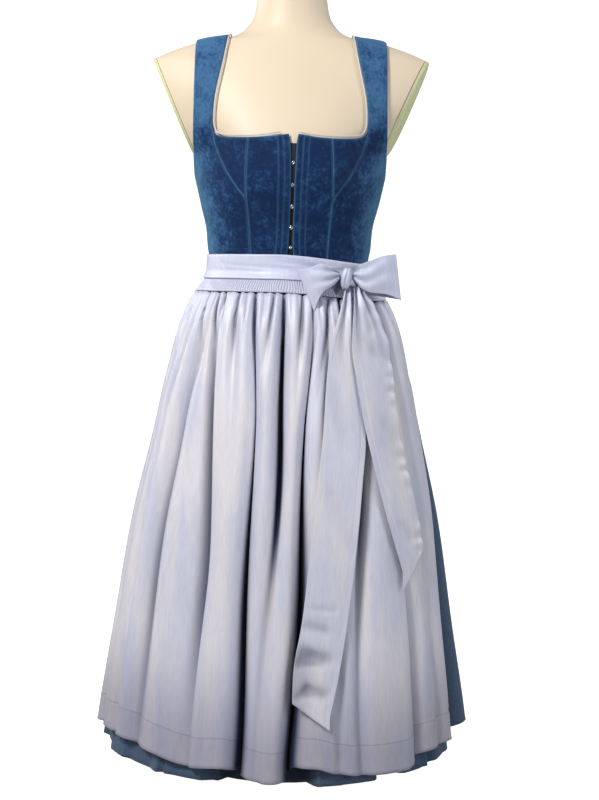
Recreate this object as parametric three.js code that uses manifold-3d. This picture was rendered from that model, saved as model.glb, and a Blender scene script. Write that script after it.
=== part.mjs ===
// A dirndl dress on a limbless dress form with a pole and a round base.
// Millimetres, +Z up. The front faces -Y and +X is the wearer's left.
// The origin is the centre of the base's underside.
import * as THREE from 'three';
import { mergeVertices } from 'three/addons/utils/BufferGeometryUtils.js';
import Module from 'manifold-3d';

const wasm = await Module();
wasm.setup();

// ---- Driving dimensions -------------------------------------------------------------
const seamGap = 0.3; // between sewn pieces
const seamAngle = 0.0018; // half a seam gap, in radians around the body
const bodiceInside = 2.0; // distance of the bodice's inner face from the form
const bodiceOutside = 4.0;
const strapShape = { turnStart: 860, turnOver: 60, bend: 0.62, bendHeight: 900 };
const shoulderX = { inner: 85, outer: 130, backOuter: 131 };
const underlap = { inside: -0.6, outside: 0.6, reach: 12, top: 856 };
const waist = { bodiceEnd: 688, skirtTop: 687.4, sash: 692.5, sashHeight: 33 };
const shirring = { top: 684, bottom: 659, thick: 1.4 };
const hemHeight = 24; // skirt hem above the floor
const lowestHem = 36; // where the apron's levels are measured from
const cloth = { skirt: 1.4, apron: 1.2, tie: 1.2 };
const plate = { x: 148, z: 876, lean: 0.405, thick: 4, foot: -33, length: 170, depth: 320 };
const plateTurn = { left: 0.12, right: 0 }; // how far each plate is turned to the front, in radians
const neckTop = 1075;
const stand = { radius: 160, height: 14, pole: 15, formEnd: 470 };
const formInset = 1.4; // the form's skin lies this far inside the fitting surface

// The form, from the hips to the neck: half width, depth to the front and to the back.
const bodyRings = [
  { z: 470, half: 136, front: 99, back: 109 },
  { z: 500, half: 136, front: 99, back: 110 },
  { z: 560, half: 130, front: 95, back: 106 },
  { z: 620, half: 118, front: 89, back: 98 },
  { z: 670, half: 109, front: 85, back: 90 },
  { z: 700, half: 108, front: 84, back: 87 },
  { z: 720, half: 111, front: 85, back: 87 },
  { z: 745, half: 113, front: 87, back: 88 },
  { z: 780, half: 121, front: 90, back: 92 },
  { z: 816, half: 129.5, front: 94, back: 97 },
  { z: 846, half: 136, front: 95, back: 101 },
  { z: 862, half: 152, front: 94, back: 103 },
  { z: 885, half: 176, front: 92, back: 103 },
  { z: 920, half: 200, front: 86, back: 99 },
  { z: 955, half: 211, front: 76, back: 88 },
  { z: 972, half: 204, front: 70, back: 79 },
  { z: 983, half: 183, front: 66, back: 74 },
  { z: 993, half: 158, front: 62, back: 68 },
  { z: 1001, half: 131, front: 59, back: 64 },
  { z: 1009, half: 86, front: 56, back: 60 },
  { z: 1020, half: 67, front: 52, back: 56 },
  { z: 1040, half: 54, front: 49, back: 52 },
  { z: 1075, half: 48, front: 47, back: 50 },
];
const bust = { z: 818, rise: 21, flat: 50, side: 40, above: 58, below: 40 };

// Seams and edges of the bodice: distance from the centre line at each height.
const closureLine = [
  { z: 688, x: 1.5, gap: 8.4 },
  { z: 712, x: 2.3, gap: 7.0 },
  { z: 720, x: 2.6, gap: 5.0 },
  { z: 746, x: 3.2, gap: 4.0 },
  { z: 802, x: 4.7, gap: 4.1 },
  { z: 830, x: 5.1, gap: 5.6 },
  { z: 856, x: 5.1, gap: 8.0 },
  { z: 869, x: 5.1, gap: 13.0 },
];
const centreSeam = [
  { z: 688, x: 50 },
  { z: 714, x: 51 },
  { z: 755, x: 54 },
  { z: 784, x: 57 },
  { z: 807, x: 57 },
  { z: 868, x: 55 },
];
const cupSeam = [
  { z: 784, x: 57.5 },
  { z: 797, x: 66 },
  { z: 815, x: 79 },
  { z: 838, x: 92 },
  { z: 866, x: 101 },
  { z: 876, x: 102 },
];
const strapInner = [
  { z: 876, x: 102 },
  { z: 890, x: 103.5 },
  { z: 920, x: 101.5 },
  { z: 965, x: 93 },
  { z: 1010, x: 85 },
];
const armholeFront = [
  { z: 818, x: 130 },
  { z: 850, x: 131 },
  { z: 920, x: 130 },
  { z: 1000, x: 130 },
];
const backSeam = [
  { z: 688, x: 36 },
  { z: 760, x: 43 },
  { z: 840, x: 52 },
  { z: 932, x: 60 },
];
const backStrapInner = [
  { z: 932, x: 60 },
  { z: 937, x: 74 },
  { z: 946, x: 82 },
  { z: 965, x: 86 },
  { z: 1010, x: 85 },
];
const armholeBack = [
  { z: 818, x: 130 },
  { z: 850, x: 134 },
  { z: 900, x: 137 },
  { z: 1000, x: 131 },
];
const armholeFoot = 818;
// The neckline as a cord runs: along the front, round the corner and up the strap.
const necklineFront = [
  { x: 12, z: 868.5 },
  { x: 34, z: 865 },
  { x: 57, z: 864 },
  { x: 80, z: 865.5 },
  { x: 93, z: 868.5 },
  { x: 100, z: 875 },
  { x: 103, z: 888 },
  { x: 101.5, z: 920 },
  { x: 93, z: 965 },
];
const necklineBack = [
  { x: 0, z: 928 },
  { x: 40, z: 930 },
  { x: 60, z: 933 },
  { x: 74, z: 938.5 },
  { x: 82, z: 948 },
  { x: 86, z: 966 },
];
const piping = { radius: 1.3, beside: 2.0, out: 3.0, overTop: 985 };
const hookHeights = [830, 802, 774, 746, 719];
const hookSize = { width: 3.2, height: 4.4, deep: 1.4 };

// The skirt's and the apron's outer envelope, which the tops of their folds touch.
const skirtRings = [
  { z: 22, half: 271, front: 252, back: 254 },
  { z: 50, half: 268, front: 249, back: 251 },
  { z: 185, half: 248, front: 227, back: 231 },
  { z: 342, half: 221, front: 199, back: 205 },
  { z: 458, half: 193.5, front: 170, back: 178 },
  { z: 530, half: 177, front: 152, back: 160 },
  { z: 562, half: 168.5, front: 144, back: 152 },
  { z: 595, half: 161, front: 136, back: 144 },
  { z: 625, half: 151, front: 127, back: 134 },
  { z: 645, half: 141, front: 118, back: 124 },
  { z: 662, half: 130, front: 108, back: 113 },
  { z: 676, half: 119, front: 98, back: 102 },
  { z: 688, half: 113.5, front: 92, back: 95.5 },
  { z: 710, half: 113.5, front: 92, back: 95.5 },
];

// The apron's folds: angle around the body and depth at four heights, and the reach of the
// trough to each side in millimetres. A short reach makes a sharp edge.
const foldHeights = [60, 270, 480, 620];
const apronFolds = [
  { angle: [-94, -95, -96, -96], depth: [20, 18, 14, 8], left: 15, right: 15 },
  { angle: [-76, -79, -80, -78], depth: [16, 15, 13, 7], left: 14, right: 14 },
  { angle: [-60, -64, -66, -58.5], depth: [7, 7, 8, 6], left: 8, right: 5 },
  { angle: [-50, -52, -53, -48.5], depth: [13, 17, 15, 9], left: 13, right: 17 },
  { angle: [-28, -27.5, -33, -39], depth: [14, 24, 20, 10], left: 24, right: 6 },
  { angle: [-20, -20, -23, -27], depth: [0, 0, 3, 8], left: 8, right: 8 },
  { angle: [-13, -12.8, -13.5, -17.5], depth: [48, 40, 22, 9], left: 7, right: 7 },
  { angle: [-7, -4.5, -2, -2], depth: [8, 14, 26, 15], left: 9, right: 9 },
  { angle: [2.6, 5.7, 8.2, 13.9], depth: [50, 44, 18, 6], left: 7, right: 9 },
  { angle: [17, 17, 18, 23], depth: [8, 10, 14, 9], left: 8, right: 8 },
  { angle: [24, 26, 33, 33], depth: [10, 16, 26, 12], left: 9, right: 10 },
  { angle: [44, 46, 49, 46], depth: [14, 12, 8, 6], left: 6, right: 14 },
  { angle: [54, 57, 60, 60], depth: [8, 8, 9, 8], left: 8, right: 10 },
];
const apronLeftEdge = [-104, -104, -104, -104];
const apronRightEdge = [60, 64.5, 77, 88];
// The apron's hem dips between its main folds: its height above the floor at each angle.
const apronHem = [
  { angle: -104, height: 44 },
  { angle: -88, height: 44 },
  { angle: -64, height: 56 },
  { angle: -40, height: 50 },
  { angle: -28, height: 42 },
  { angle: -17, height: 46 },
  { angle: -11, height: 36 },
  { angle: -4, height: 30 },
  { angle: 1, height: 30 },
  { angle: 5, height: 50 },
  { angle: 9, height: 50 },
  { angle: 16, height: 41 },
  { angle: 26, height: 35 },
  { angle: 38, height: 34 },
  { angle: 45, height: 48 },
  { angle: 60, height: 53 },
];
// The skirt's hem rises on the wearer's left.
const skirtHemLift = { height: 28, angle: 80, reach: 34 };

// The skirt's own folds, all round. Under the apron they only deepen near the hem.
const skirtFolds = [
  { angle: [-38, -38, -38, -38], depth: [16, 4, 0, 0], left: 9, right: 9 },
  { angle: [-21, -21, -21, -21], depth: [24, 6, 0, 0], left: 20, right: 20 },
  { angle: [-5, -5, -5, -5], depth: [62, 14, 0, 0], left: 26, right: 26 },
  { angle: [14, 14, 14, 14], depth: [10, 3, 0, 0], left: 10, right: 10 },
  { angle: [35, 35, 35, 35], depth: [50, 10, 0, 0], left: 22, right: 22 },
  { angle: [53, 53, 53, 53], depth: [20, 8, 0, 0], left: 12, right: 12 },
  { angle: [71, 74, 76, 78], depth: [50, 30, 15, 5], left: 28, right: 19 },
  { angle: [90, 91, 92, 92], depth: [27, 22, 14, 6], left: 12, right: 15 },
  { angle: [105, 105, 105, 106], depth: [30, 20, 13, 5], left: 13, right: 11 },
  { angle: [121, 121, 120, 119], depth: [40, 30, 16, 6], left: 11, right: 12 },
  { angle: [136, 135, 134, 133], depth: [24, 20, 13, 5], left: 15, right: 12 },
  { angle: [153, 152, 151, 148], depth: [36, 26, 16, 6], left: 12, right: 13 },
  { angle: [168, 168, 167, 165], depth: [28, 24, 14, 5], left: 13, right: 13 },
  { angle: [184, 184, 183, 182], depth: [42, 30, 17, 6], left: 11, right: 12 },
  { angle: [199, 200, 200, 198], depth: [26, 20, 13, 5], left: 14, right: 15 },
  { angle: [216, 215, 214, 214], depth: [36, 27, 16, 6], left: 12, right: 12 },
  { angle: [230, 231, 231, 229], depth: [28, 21, 14, 5], left: 12, right: 14 },
  { angle: [247, 247, 246, 244], depth: [38, 26, 15, 5], left: 12, right: 11 },
  { angle: [262, 262, 261, 260], depth: [24, 18, 12, 4], left: 14, right: 12 },
  { angle: [279, 279, 279, 279], depth: [10, 3, 0, 0], left: 12, right: 12 },
  { angle: [302, 302, 302, 302], depth: [10, 0, 0, 0], left: 12, right: 10 },
];
// The skirt under the apron follows its deepest nearby fold, within `spread` degrees.
const underApron = { clearance: 6, least: 2.4, spread: 5, edge: 7, fullBelow: 650, topAt: 672 };
// The four widths of the skirt: where each starts and ends, the folds in it by their rows
// above, and where its columns of facets stand between two folds.
const skirtWidths = [
  { name: 'front', from: -46, to: 44, first: 0, last: 5, stops: [0, 0.2, 0.4, 0.6, 0.8] },
  { name: 'left', from: 44, to: 128, first: 5, last: 10, stops: [0, 0.28, 0.72] },
  { name: 'back', from: 128, to: 223, first: 10, last: 16, stops: [0, 0.28, 0.72] },
  { name: 'right', from: 223, to: 314, first: 16, last: 21, stops: [0, 0.28, 0.72] },
];

const bowDrop = { angle: 75, height: 11, reach: 85, flat: 10 };
// The bow: outlines of the loops and tails. `s` runs from the knot to the loop's outer fold.
const knot = { x: 79, y: -91.5, z: 678, halfWidth: 7.5, halfDeep: 9, halfHeight: 15.5 };
const leftLoop = {
  reach: [
    { s: 0, x: 69, y: -93, low: 673, high: 683, bulge: 2 },
    { s: 0.3, x: 56, y: -101, low: 659, high: 692, bulge: 8 },
    { s: 0.65, x: 39, y: -106, low: 643, high: 695, bulge: 10 },
    { s: 1, x: 23, y: -109, low: 634, high: 689, bulge: 3.2 },
  ],
  slant: 10,
};
const rightLoop = {
  reach: [
    { s: 0, x: 88, y: -86, low: 673, high: 683, bulge: 2 },
    { s: 0.3, x: 104, y: -80, low: 661, high: 694, bulge: 8 },
    { s: 0.65, x: 126, y: -71, low: 655, high: 702, bulge: 9 },
    { s: 1, x: 149, y: -62, low: 650, high: 707, bulge: 3.2 },
  ],
  slant: -2,
};
const longTail = [
  { z: 660, low: 74, high: 82 },
  { z: 628, low: 67, high: 86 },
  { z: 587, low: 57, high: 90 },
  { z: 544, low: 53, high: 98 },
  { z: 464, low: 48, high: 105 },
  { z: 407, low: 42, high: 101 },
  { z: 313, low: 33, high: 93 },
  { z: 237, low: 25, high: 84 },
  { z: 162, low: 14, high: 72 },
  { z: 115, low: 13.5, high: 62 },
];
const shortTail = [
  { z: 660, low: 84, high: 93 },
  { z: 628, low: 84, high: 115 },
  { z: 587, low: 84, high: 131 },
  { z: 544, low: 90, high: 139 },
  { z: 488, low: 100, high: 146 },
  { z: 410, low: 119, high: 163 },
  { z: 354, low: 134, high: 176 },
  { z: 289, low: 153, high: 186 },
];
const tailEnds = { longSlope: 36, shortSlope: -50, longOut: 2.2, shortOut: 5.6 };

// ---- Helpers ------------------------------------------------------------------------
const radians = (degrees) => (degrees * Math.PI) / 180;
const mix = (a, b, t) => a + (b - a) * t;
const clamp = (value, low, high) => Math.min(high, Math.max(low, value));
function smooth(t) {
  const u = clamp(t, 0, 1);
  return u * u * (3 - 2 * u);
}

// A column's value at a height: a cubic through the rows that never overshoots them.
function valueAt(table, column, z, key = 'z') {
  const last = table.length - 1;
  if (z <= table[0][key]) return table[0][column];
  if (z >= table[last][key]) return table[last][column];
  let i = 0;
  while (z > table[i + 1][key]) i += 1;
  const secant = (k) => (table[k + 1][column] - table[k][column]) / (table[k + 1][key] - table[k][key]);
  const slope = (k) => {
    if (k === 0) return secant(0);
    if (k === last) return secant(last - 1);
    const before = secant(k - 1);
    const after = secant(k);
    return before * after <= 0 ? 0 : (2 * before * after) / (before + after);
  };
  const span = table[i + 1][key] - table[i][key];
  const t = (z - table[i][key]) / span;
  const ease = t * t * (3 - 2 * t);
  const start = t * (1 - t) * (1 - t);
  const end = t * t * (1 - t);
  const rise = span * (start * slope(i) - end * slope(i + 1));
  return mix(table[i][column], table[i + 1][column], ease) + rise;
}

// A fold's value at a height, from its four columns.
function foldAt(values, z) {
  const table = foldHeights.map((height, i) => ({ z: height, value: values[i] }));
  return valueAt(table, 'value', z);
}

function ringPoint(rings, phi, z) {
  const half = valueAt(rings, 'half', z);
  const depth = valueAt(rings, Math.cos(phi) > 0 ? 'front' : 'back', z);
  return new THREE.Vector3(half * Math.sin(phi), -depth * Math.cos(phi), z);
}

function bodyPoint(phi, z) {
  const point = ringPoint(bodyRings, phi, z);
  const facing = clamp(2.5 * Math.cos(phi), 0, 1);
  const beside = Math.max(0, Math.abs(point.x) - bust.flat) / bust.side;
  const height = (z - bust.z) / (z > bust.z ? bust.above : bust.below);
  const fall = Math.exp(-0.5 * (beside * beside + height * height));
  point.y -= bust.rise * facing * fall;
  return point;
}

// A point moved out from a surface along the surface's own normal.
function movedOut(surface, u, v, out, stepU = 0.004, stepV = 0.6) {
  const across = surface(u + stepU, v).sub(surface(u - stepU, v));
  const up = surface(u, v + stepV).sub(surface(u, v - stepV));
  const normal = across.cross(up).normalize();
  return surface(u, v).addScaledVector(normal, out);
}

// A closed wall between two grids of points; a ring joins its last column to its first.
function wall(rows, columns, outerAt, innerAt, ring = false) {
  const width = ring ? columns : columns + 1;
  const positions = [];
  for (const pointAt of [outerAt, innerAt]) {
    for (let i = 0; i <= rows; i += 1) {
      for (let j = 0; j < width; j += 1) positions.push(...pointAt(j, i).toArray());
    }
  }
  const id = (layer, i, j) => layer * (rows + 1) * width + i * width + (j % width);
  const faces = [];
  const quad = (a, b, c, d) => faces.push(a, b, c, a, c, d);
  for (let j = 0; j < columns; j += 1) {
    for (let i = 0; i < rows; i += 1) {
      quad(id(0, i, j), id(0, i, j + 1), id(0, i + 1, j + 1), id(0, i + 1, j));
      quad(id(1, i, j), id(1, i + 1, j), id(1, i + 1, j + 1), id(1, i, j + 1));
    }
    quad(id(1, 0, j), id(1, 0, j + 1), id(0, 0, j + 1), id(0, 0, j));
    quad(id(0, rows, j), id(0, rows, j + 1), id(1, rows, j + 1), id(1, rows, j));
  }
  if (!ring) {
    for (let i = 0; i < rows; i += 1) {
      quad(id(0, i, 0), id(0, i + 1, 0), id(1, i + 1, 0), id(1, i, 0));
      quad(id(1, i, columns), id(1, i + 1, columns), id(0, i + 1, columns), id(0, i, columns));
    }
  }
  return closedGeometry(positions, faces);
}

// A geometry with its faces pointing out.
function closedGeometry(positions, faces) {
  const corner = (k) => new THREE.Vector3().fromArray(positions, 3 * k);
  let volume = 0;
  for (let f = 0; f < faces.length; f += 3) {
    volume += corner(faces[f]).dot(corner(faces[f + 1]).cross(corner(faces[f + 2])));
  }
  const outward = volume > 0 ? faces : [...faces].reverse();
  const geometry = new THREE.BufferGeometry();
  geometry.setAttribute('position', new THREE.Float32BufferAttribute(positions, 3));
  geometry.setIndex(outward);
  return geometry;
}

// Rings of points stacked into one solid with flat ends.
function stackedRings(levels, sides, pointAt) {
  const positions = [];
  for (let i = 0; i < levels; i += 1) {
    for (let j = 0; j < sides; j += 1) positions.push(...pointAt(j / sides, i).toArray());
  }
  const faces = [];
  for (let i = 0; i < levels - 1; i += 1) {
    for (let j = 0; j < sides; j += 1) {
      const next = (j + 1) % sides;
      faces.push(i * sides + j, i * sides + next, (i + 1) * sides + next);
      faces.push(i * sides + j, (i + 1) * sides + next, (i + 1) * sides + j);
    }
  }
  const top = (levels - 1) * sides;
  for (let j = 1; j < sides - 1; j += 1) {
    faces.push(0, j + 1, j);
    faces.push(top, top + j, top + j + 1);
  }
  return closedGeometry(positions, faces);
}

function toManifold(geometry) {
  const bare = geometry.clone();
  bare.deleteAttribute('normal');
  bare.deleteAttribute('uv');
  const merged = mergeVertices(bare, 1e-4);
  const vertProperties = new Float32Array(merged.attributes.position.array);
  const triVerts = new Uint32Array(merged.index.array);
  return new wasm.Manifold(new wasm.Mesh({ numProp: 3, vertProperties, triVerts }));
}

function fromManifold(solid) {
  const { vertProperties, triVerts } = solid.getMesh();
  const geometry = new THREE.BufferGeometry();
  geometry.setAttribute('position', new THREE.BufferAttribute(new Float32Array(vertProperties), 3));
  geometry.setIndex(new THREE.BufferAttribute(new Uint32Array(triVerts), 1));
  return geometry;
}

// ---- Materials and the group --------------------------------------------------------
const finish = (color, roughness, metalness = 0) => (
  new THREE.MeshStandardMaterial({ color, roughness, metalness })
);
const velvet = finish(0x24406f, 0.9);
const crepe = finish(0x46688a, 0.85);
const taffeta = finish(0xb9bccd, 0.45);
const pipingCloth = finish(0xd8d4cf, 0.4);
const blackCloth = finish(0x0c0d12, 0.8);
const silver = finish(0xc9ccd0, 0.25, 1);
const formCover = finish(0xf0dfc2, 0.7);
const formPlate = finish(0xcdcc92, 0.5);
const standMetal = finish(0x8c8f93, 0.4, 1);

const dress = new THREE.Group();
function add(name, geometry, material) {
  const mesh = new THREE.Mesh(geometry, material);
  mesh.name = name;
  dress.add(mesh);
}

// ---- The form and its stand ---------------------------------------------------------
const formLevels = [
  470, 484, 520, 560, 600, 640, 675, 700, 722, 745, 768, 790, 806, 822, 838, 850, 862, 876,
  892, 912, 932, 952, 966, 977, 986, 994, 1001, 1006, 1012, 1022, 1038, 1056, neckTop,
];
const formSides = 36;
const formSkin = (inset) => stackedRings(formLevels.length, formSides, (around, i) => (
  movedOut(bodyPoint, 2 * Math.PI * around, formLevels[i], -inset).setZ(formLevels[i])
));

// A block whose inner face is the armhole plane, moved out by a distance.
function plateBlock(side, out, thick) {
  const block = new THREE.BoxGeometry(thick, plate.depth, plate.length);
  block.translate(out + thick / 2, 0, plate.length / 2 + plate.foot);
  block.rotateY(plate.lean);
  block.rotateZ(-(side > 0 ? plateTurn.left : plateTurn.right));
  block.translate(plate.x, 0, plate.z);
  if (side < 0) block.rotateZ(Math.PI);
  return toManifold(block);
}

function addForm() {
  let torso = toManifold(formSkin(formInset));
  for (const side of [1, -1]) {
    torso = torso.subtract(plateBlock(side, -plate.thick - 2 * seamGap, 120));
    const disc = toManifold(formSkin(formInset + 1)).intersect(plateBlock(side, -plate.thick, plate.thick));
    add(`form_shoulder_plate_${side > 0 ? 'left' : 'right'}`, fromManifold(disc), formPlate);
  }
  add('form_torso', fromManifold(torso), formCover);

  const capProfile = [
    [0, 0], [47, 0], [49, 2], [49, 5], [46, 8.5], [0, 10],
  ].map(([r, z]) => new THREE.Vector2(r, z));
  const cap = new THREE.LatheGeometry(capProfile, 32).rotateX(Math.PI / 2);
  add('form_neck_cap', cap.translate(0, -1.5, neckTop + seamGap), formPlate);

  const pole = new THREE.CylinderGeometry(
    stand.pole, stand.pole, stand.formEnd - stand.height - 2 * seamGap, 24,
  ).rotateX(Math.PI / 2);
  add('stand_pole', pole.translate(0, 0, (stand.formEnd + stand.height) / 2), standMetal);

  const baseProfile = [
    [0, 0], [stand.radius - 2, 0], [stand.radius, 2], [stand.radius, 6],
    [stand.radius - 8, 9], [60, 12], [30, stand.height], [0, stand.height],
  ].map(([r, z]) => new THREE.Vector2(r, z));
  add('stand_base', new THREE.LatheGeometry(baseProfile, 48).rotateX(Math.PI / 2), standMetal);
}

// ---- The bodice ---------------------------------------------------------------------
const angleOf = (x, z) => Math.asin(clamp(x / valueAt(bodyRings, 'half', z), -1, 1));

// The height at which the form's outline comes in to a distance from the centre line.
function ridgeHeight(x) {
  let low = 960;
  let high = neckTop;
  for (let i = 0; i < 40; i += 1) {
    const middle = (low + high) / 2;
    if (valueAt(bodyRings, 'half', middle) > x) low = middle;
    else high = middle;
  }
  return low;
}

// A bodice piece between two edges. side is 1 for the wearer's left and face 1 for the front.
function bodicePiece({ rows, columns, side, face, heightAt, innerEdge, outerEdge, strap }) {
  const at = (out) => (j, i) => {
    const u = j / columns;
    const z = heightAt(u, i / rows);
    const inner = angleOf(innerEdge(z), z) + seamAngle;
    const outer = angleOf(outerEdge(z), z) - seamAngle;
    let phi = mix(inner, outer, u);
    if (strap) {
      const level = angleOf(mix(innerEdge(z), outerEdge(z), u), z);
      const upright = smooth((z - strapShape.turnStart) / strapShape.turnOver);
      phi = mix(phi, clamp(level, 0, Math.PI / 2 - seamAngle), upright);
    }
    const turned = side * (face > 0 ? phi : Math.PI - phi);
    const point = movedOut(bodyPoint, turned, z, out);
    if (strap) point.y = face > 0 ? Math.min(point.y, -seamGap / 2) : Math.max(point.y, seamGap / 2);
    return point;
  };
  return wall(rows, columns, at(bodiceOutside), at(bodiceInside));
}

const necklineTop = (x) => valueAt(necklineFront.slice(0, 6), 'z', Math.abs(x), 'x') - 0.8;
const rowsTo = (top) => (u, v) => mix(waist.bodiceEnd, top(u), v);

// Rows that crowd together towards the top of the strap.
function strapHeight(innerX, outerX) {
  return (u, v) => {
    const top = ridgeHeight(mix(innerX, outerX, u));
    const { bend, bendHeight } = strapShape;
    if (v <= bend) return mix(waist.bodiceEnd, bendHeight, v / bend);
    return bendHeight + (top - bendHeight) * Math.sin(((v - bend) / (1 - bend)) * (Math.PI / 2));
  };
}

const frontInner = [...centreSeam.slice(0, 4), ...cupSeam.slice(1, 5), ...strapInner.slice(1)];
const backInner = [...backSeam.slice(0, 3), ...backStrapInner];
const cupEase = 0.8; // keeps the foot of the cup's triangle from closing to a point
const sideSeam = (table) => (z) => (z < armholeFoot ? 1000 : valueAt(table, 'x', z));

function addBodice() {
  for (const side of [1, -1]) {
    const name = side > 0 ? 'left' : 'right';
    const halfGap = (z) => valueAt(closureLine, 'gap', z) / 2;
    const edge = (z) => side * valueAt(closureLine, 'x', z) + halfGap(z);
    add(`bodice_front_${name}`, bodicePiece({
      rows: 14, columns: 3, side, face: 1,
      heightAt: rowsTo((u) => necklineTop(mix(12, 55, u))),
      innerEdge: edge,
      outerEdge: (z) => Math.min(valueAt(centreSeam, 'x', z), valueAt(frontInner, 'x', z)),
    }), velvet);
    add(`bodice_cup_${name}`, bodicePiece({
      rows: 9, columns: 3, side, face: 1,
      heightAt: (u, v) => mix(786, necklineTop(mix(56, 100, u)), v),
      innerEdge: (z) => valueAt(centreSeam, 'x', z),
      outerEdge: (z) => valueAt(frontInner, 'x', z) + mix(cupEase, 0, smooth((z - 800) / 40)),
    }), velvet);
    add(`bodice_side_front_${name}`, bodicePiece({
      rows: 18, columns: 4, side, face: 1, strap: true,
      heightAt: strapHeight(shoulderX.inner, shoulderX.outer),
      innerEdge: (z) => valueAt(frontInner, 'x', z) + (z > 780 ? cupEase + 0.2 : 0),
      outerEdge: sideSeam(armholeFront),
    }), velvet);
    add(`bodice_side_back_${name}`, bodicePiece({
      rows: 18, columns: 4, side, face: -1, strap: true,
      heightAt: strapHeight(shoulderX.inner, shoulderX.backOuter),
      innerEdge: (z) => valueAt(backInner, 'x', z),
      outerEdge: sideSeam(armholeBack),
    }), velvet);
  }
  const centreRows = 10;
  const centreColumns = 8;
  const centreBack = (out) => (j, i) => {
    const u = (2 * j) / centreColumns - 1;
    const z = mix(waist.bodiceEnd, 927 + 4 * u * u, i / centreRows);
    const reach = angleOf(valueAt(backInner, 'x', z), z) - seamAngle;
    return movedOut(bodyPoint, Math.PI - u * reach, z, out);
  };
  const backWall = wall(
    centreRows, centreColumns, centreBack(bodiceOutside), centreBack(bodiceInside),
  );
  add('bodice_back', backWall, velvet);

  const lapRows = 14;
  const lapColumns = 2;
  const lap = (out) => (j, i) => {
    const z = mix(waist.bodiceEnd, underlap.top, i / lapRows);
    const x = valueAt(closureLine, 'x', z) + mix(-underlap.reach, underlap.reach, j / lapColumns);
    return movedOut(bodyPoint, angleOf(x, z), z, out);
  };
  add('closure_underlap', wall(lapRows, lapColumns, lap(underlap.outside), lap(underlap.inside)),
    blackCloth);
}

// A small bent hook that fills the gap between the two front edges.
function addHooks() {
  const { width, height, deep } = hookSize;
  hookHeights.forEach((z, i) => {
    const outline = new THREE.Shape();
    outline.absarc(0, height / 2 - width / 2, width / 2, 0, Math.PI);
    outline.absarc(0, width / 2 - height / 2, width / 2, Math.PI, 2 * Math.PI);
    const eye = new THREE.Path();
    eye.absarc(0, 0, width / 5, 0, 2 * Math.PI, true);
    outline.holes.push(eye);
    const hook = new THREE.ExtrudeGeometry(outline, {
      depth: deep, bevelEnabled: false, curveSegments: 5,
    });
    hook.translate(0, 0, -deep / 2).rotateX(Math.PI / 2);
    const x = valueAt(closureLine, 'x', z);
    const centre = movedOut(bodyPoint, angleOf(x, z), z, bodiceInside + deep / 2 + seamGap);
    add(`closure_hook_${i + 1}`, hook.translate(...centre.toArray()), silver);
  });
}

// A cord along the neckline, just beyond the cloth's edge, up to the shoulder seam.
function pipingAlong(route, strapEdge, side, face) {
  const top = ridgeHeight(shoulderX.inner);
  const overShoulder = [20, 40, 58, 74].map((degrees) => {
    const z = piping.overTop + (top - piping.overTop) * Math.sin(radians(degrees));
    return { x: valueAt(strapEdge, 'x', z), z };
  });
  const places = [...route, ...overShoulder].map(({ x, z }) => {
    const phi = angleOf(x, z);
    return { phi: side * (face > 0 ? phi : Math.PI - phi), z };
  });
  places.push({ phi: side * (Math.PI / 2), z: top });
  const onCloth = places.map(({ phi, z }) => movedOut(bodyPoint, phi, z, piping.out));
  const centres = onCloth.map((point, i) => {
    const before = onCloth[Math.max(0, i - 1)];
    const after = onCloth[Math.min(onCloth.length - 1, i + 1)];
    const outward = point.clone().sub(bodyPoint(places[i].phi, places[i].z));
    const beside = after.clone().sub(before).cross(outward).normalize();
    return point.clone().addScaledVector(beside, -side * face * piping.beside);
  });
  centres[centres.length - 1].y = -face * (seamGap / 2 + 0.1);
  return centres;
}

function addPiping() {
  const section = new THREE.Shape().absarc(0, 0, piping.radius, 0, 2 * Math.PI);
  const cord = (points, steps) => new THREE.ExtrudeGeometry(section, {
    steps, curveSegments: 2, extrudePath: new THREE.CatmullRomCurve3(points),
  });
  for (const side of [1, -1]) {
    const name = side > 0 ? 'left' : 'right';
    add(`piping_neck_front_${name}`, cord(pipingAlong(necklineFront, strapInner, side, 1), 30), pipingCloth);
  }
  const rightHalf = pipingAlong(necklineBack.slice(1), backStrapInner, -1, -1).reverse();
  const leftHalf = pipingAlong(necklineBack.slice(1), backStrapInner, 1, -1);
  const middle = movedOut(bodyPoint, Math.PI, necklineBack[0].z + piping.beside, piping.out);
  add('piping_neck_back', cord([...rightHalf, middle, ...leftHalf], 52), pipingCloth);
}

// ---- The skirt and the apron --------------------------------------------------------
// How far the bow pulls the sash and the shirring down at an angle.
function bowPull(degrees) {
  const away = Math.abs(((degrees - bowDrop.angle + 540) % 360) - 180);
  return bowDrop.height * smooth((bowDrop.reach - away) / (bowDrop.reach - bowDrop.flat));
}

function foldDepth(folds, degrees, z) {
  const girth = valueAt(skirtRings, 'half', z);
  return folds.reduce((total, fold) => {
    const depth = foldAt(fold.depth, z);
    const turn = ((degrees - foldAt(fold.angle, z) + 540) % 360) - 180;
    const along = radians(turn) * girth;
    const reach = along < 0 ? fold.left : fold.right;
    const u = Math.abs(along) / (reach * mix(0.6, 1, smooth((620 - z) / 400)));
    return total + depth * Math.exp(-(u ** 1.8));
  }, 0);
}

const gathers = { top: 668, full: 578 }; // the folds open between these heights
const gathered = (z) => smooth((gathers.top - z) / (gathers.top - gathers.full));
const apronDepth = (degrees, z) => foldDepth(apronFolds, degrees, z) * gathered(z);

// How much of the apron lies over the skirt at an angle: 1 under it, 0 clear of it.
function apronCover(degrees, z) {
  const turn = ((degrees + 20 + 540) % 360) - 200;
  const fromLeft = turn - foldAt(apronLeftEdge, z);
  const toRight = foldAt(apronRightEdge, z) - turn;
  return smooth(1 + Math.min(fromLeft, toRight) / underApron.edge);
}

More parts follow.
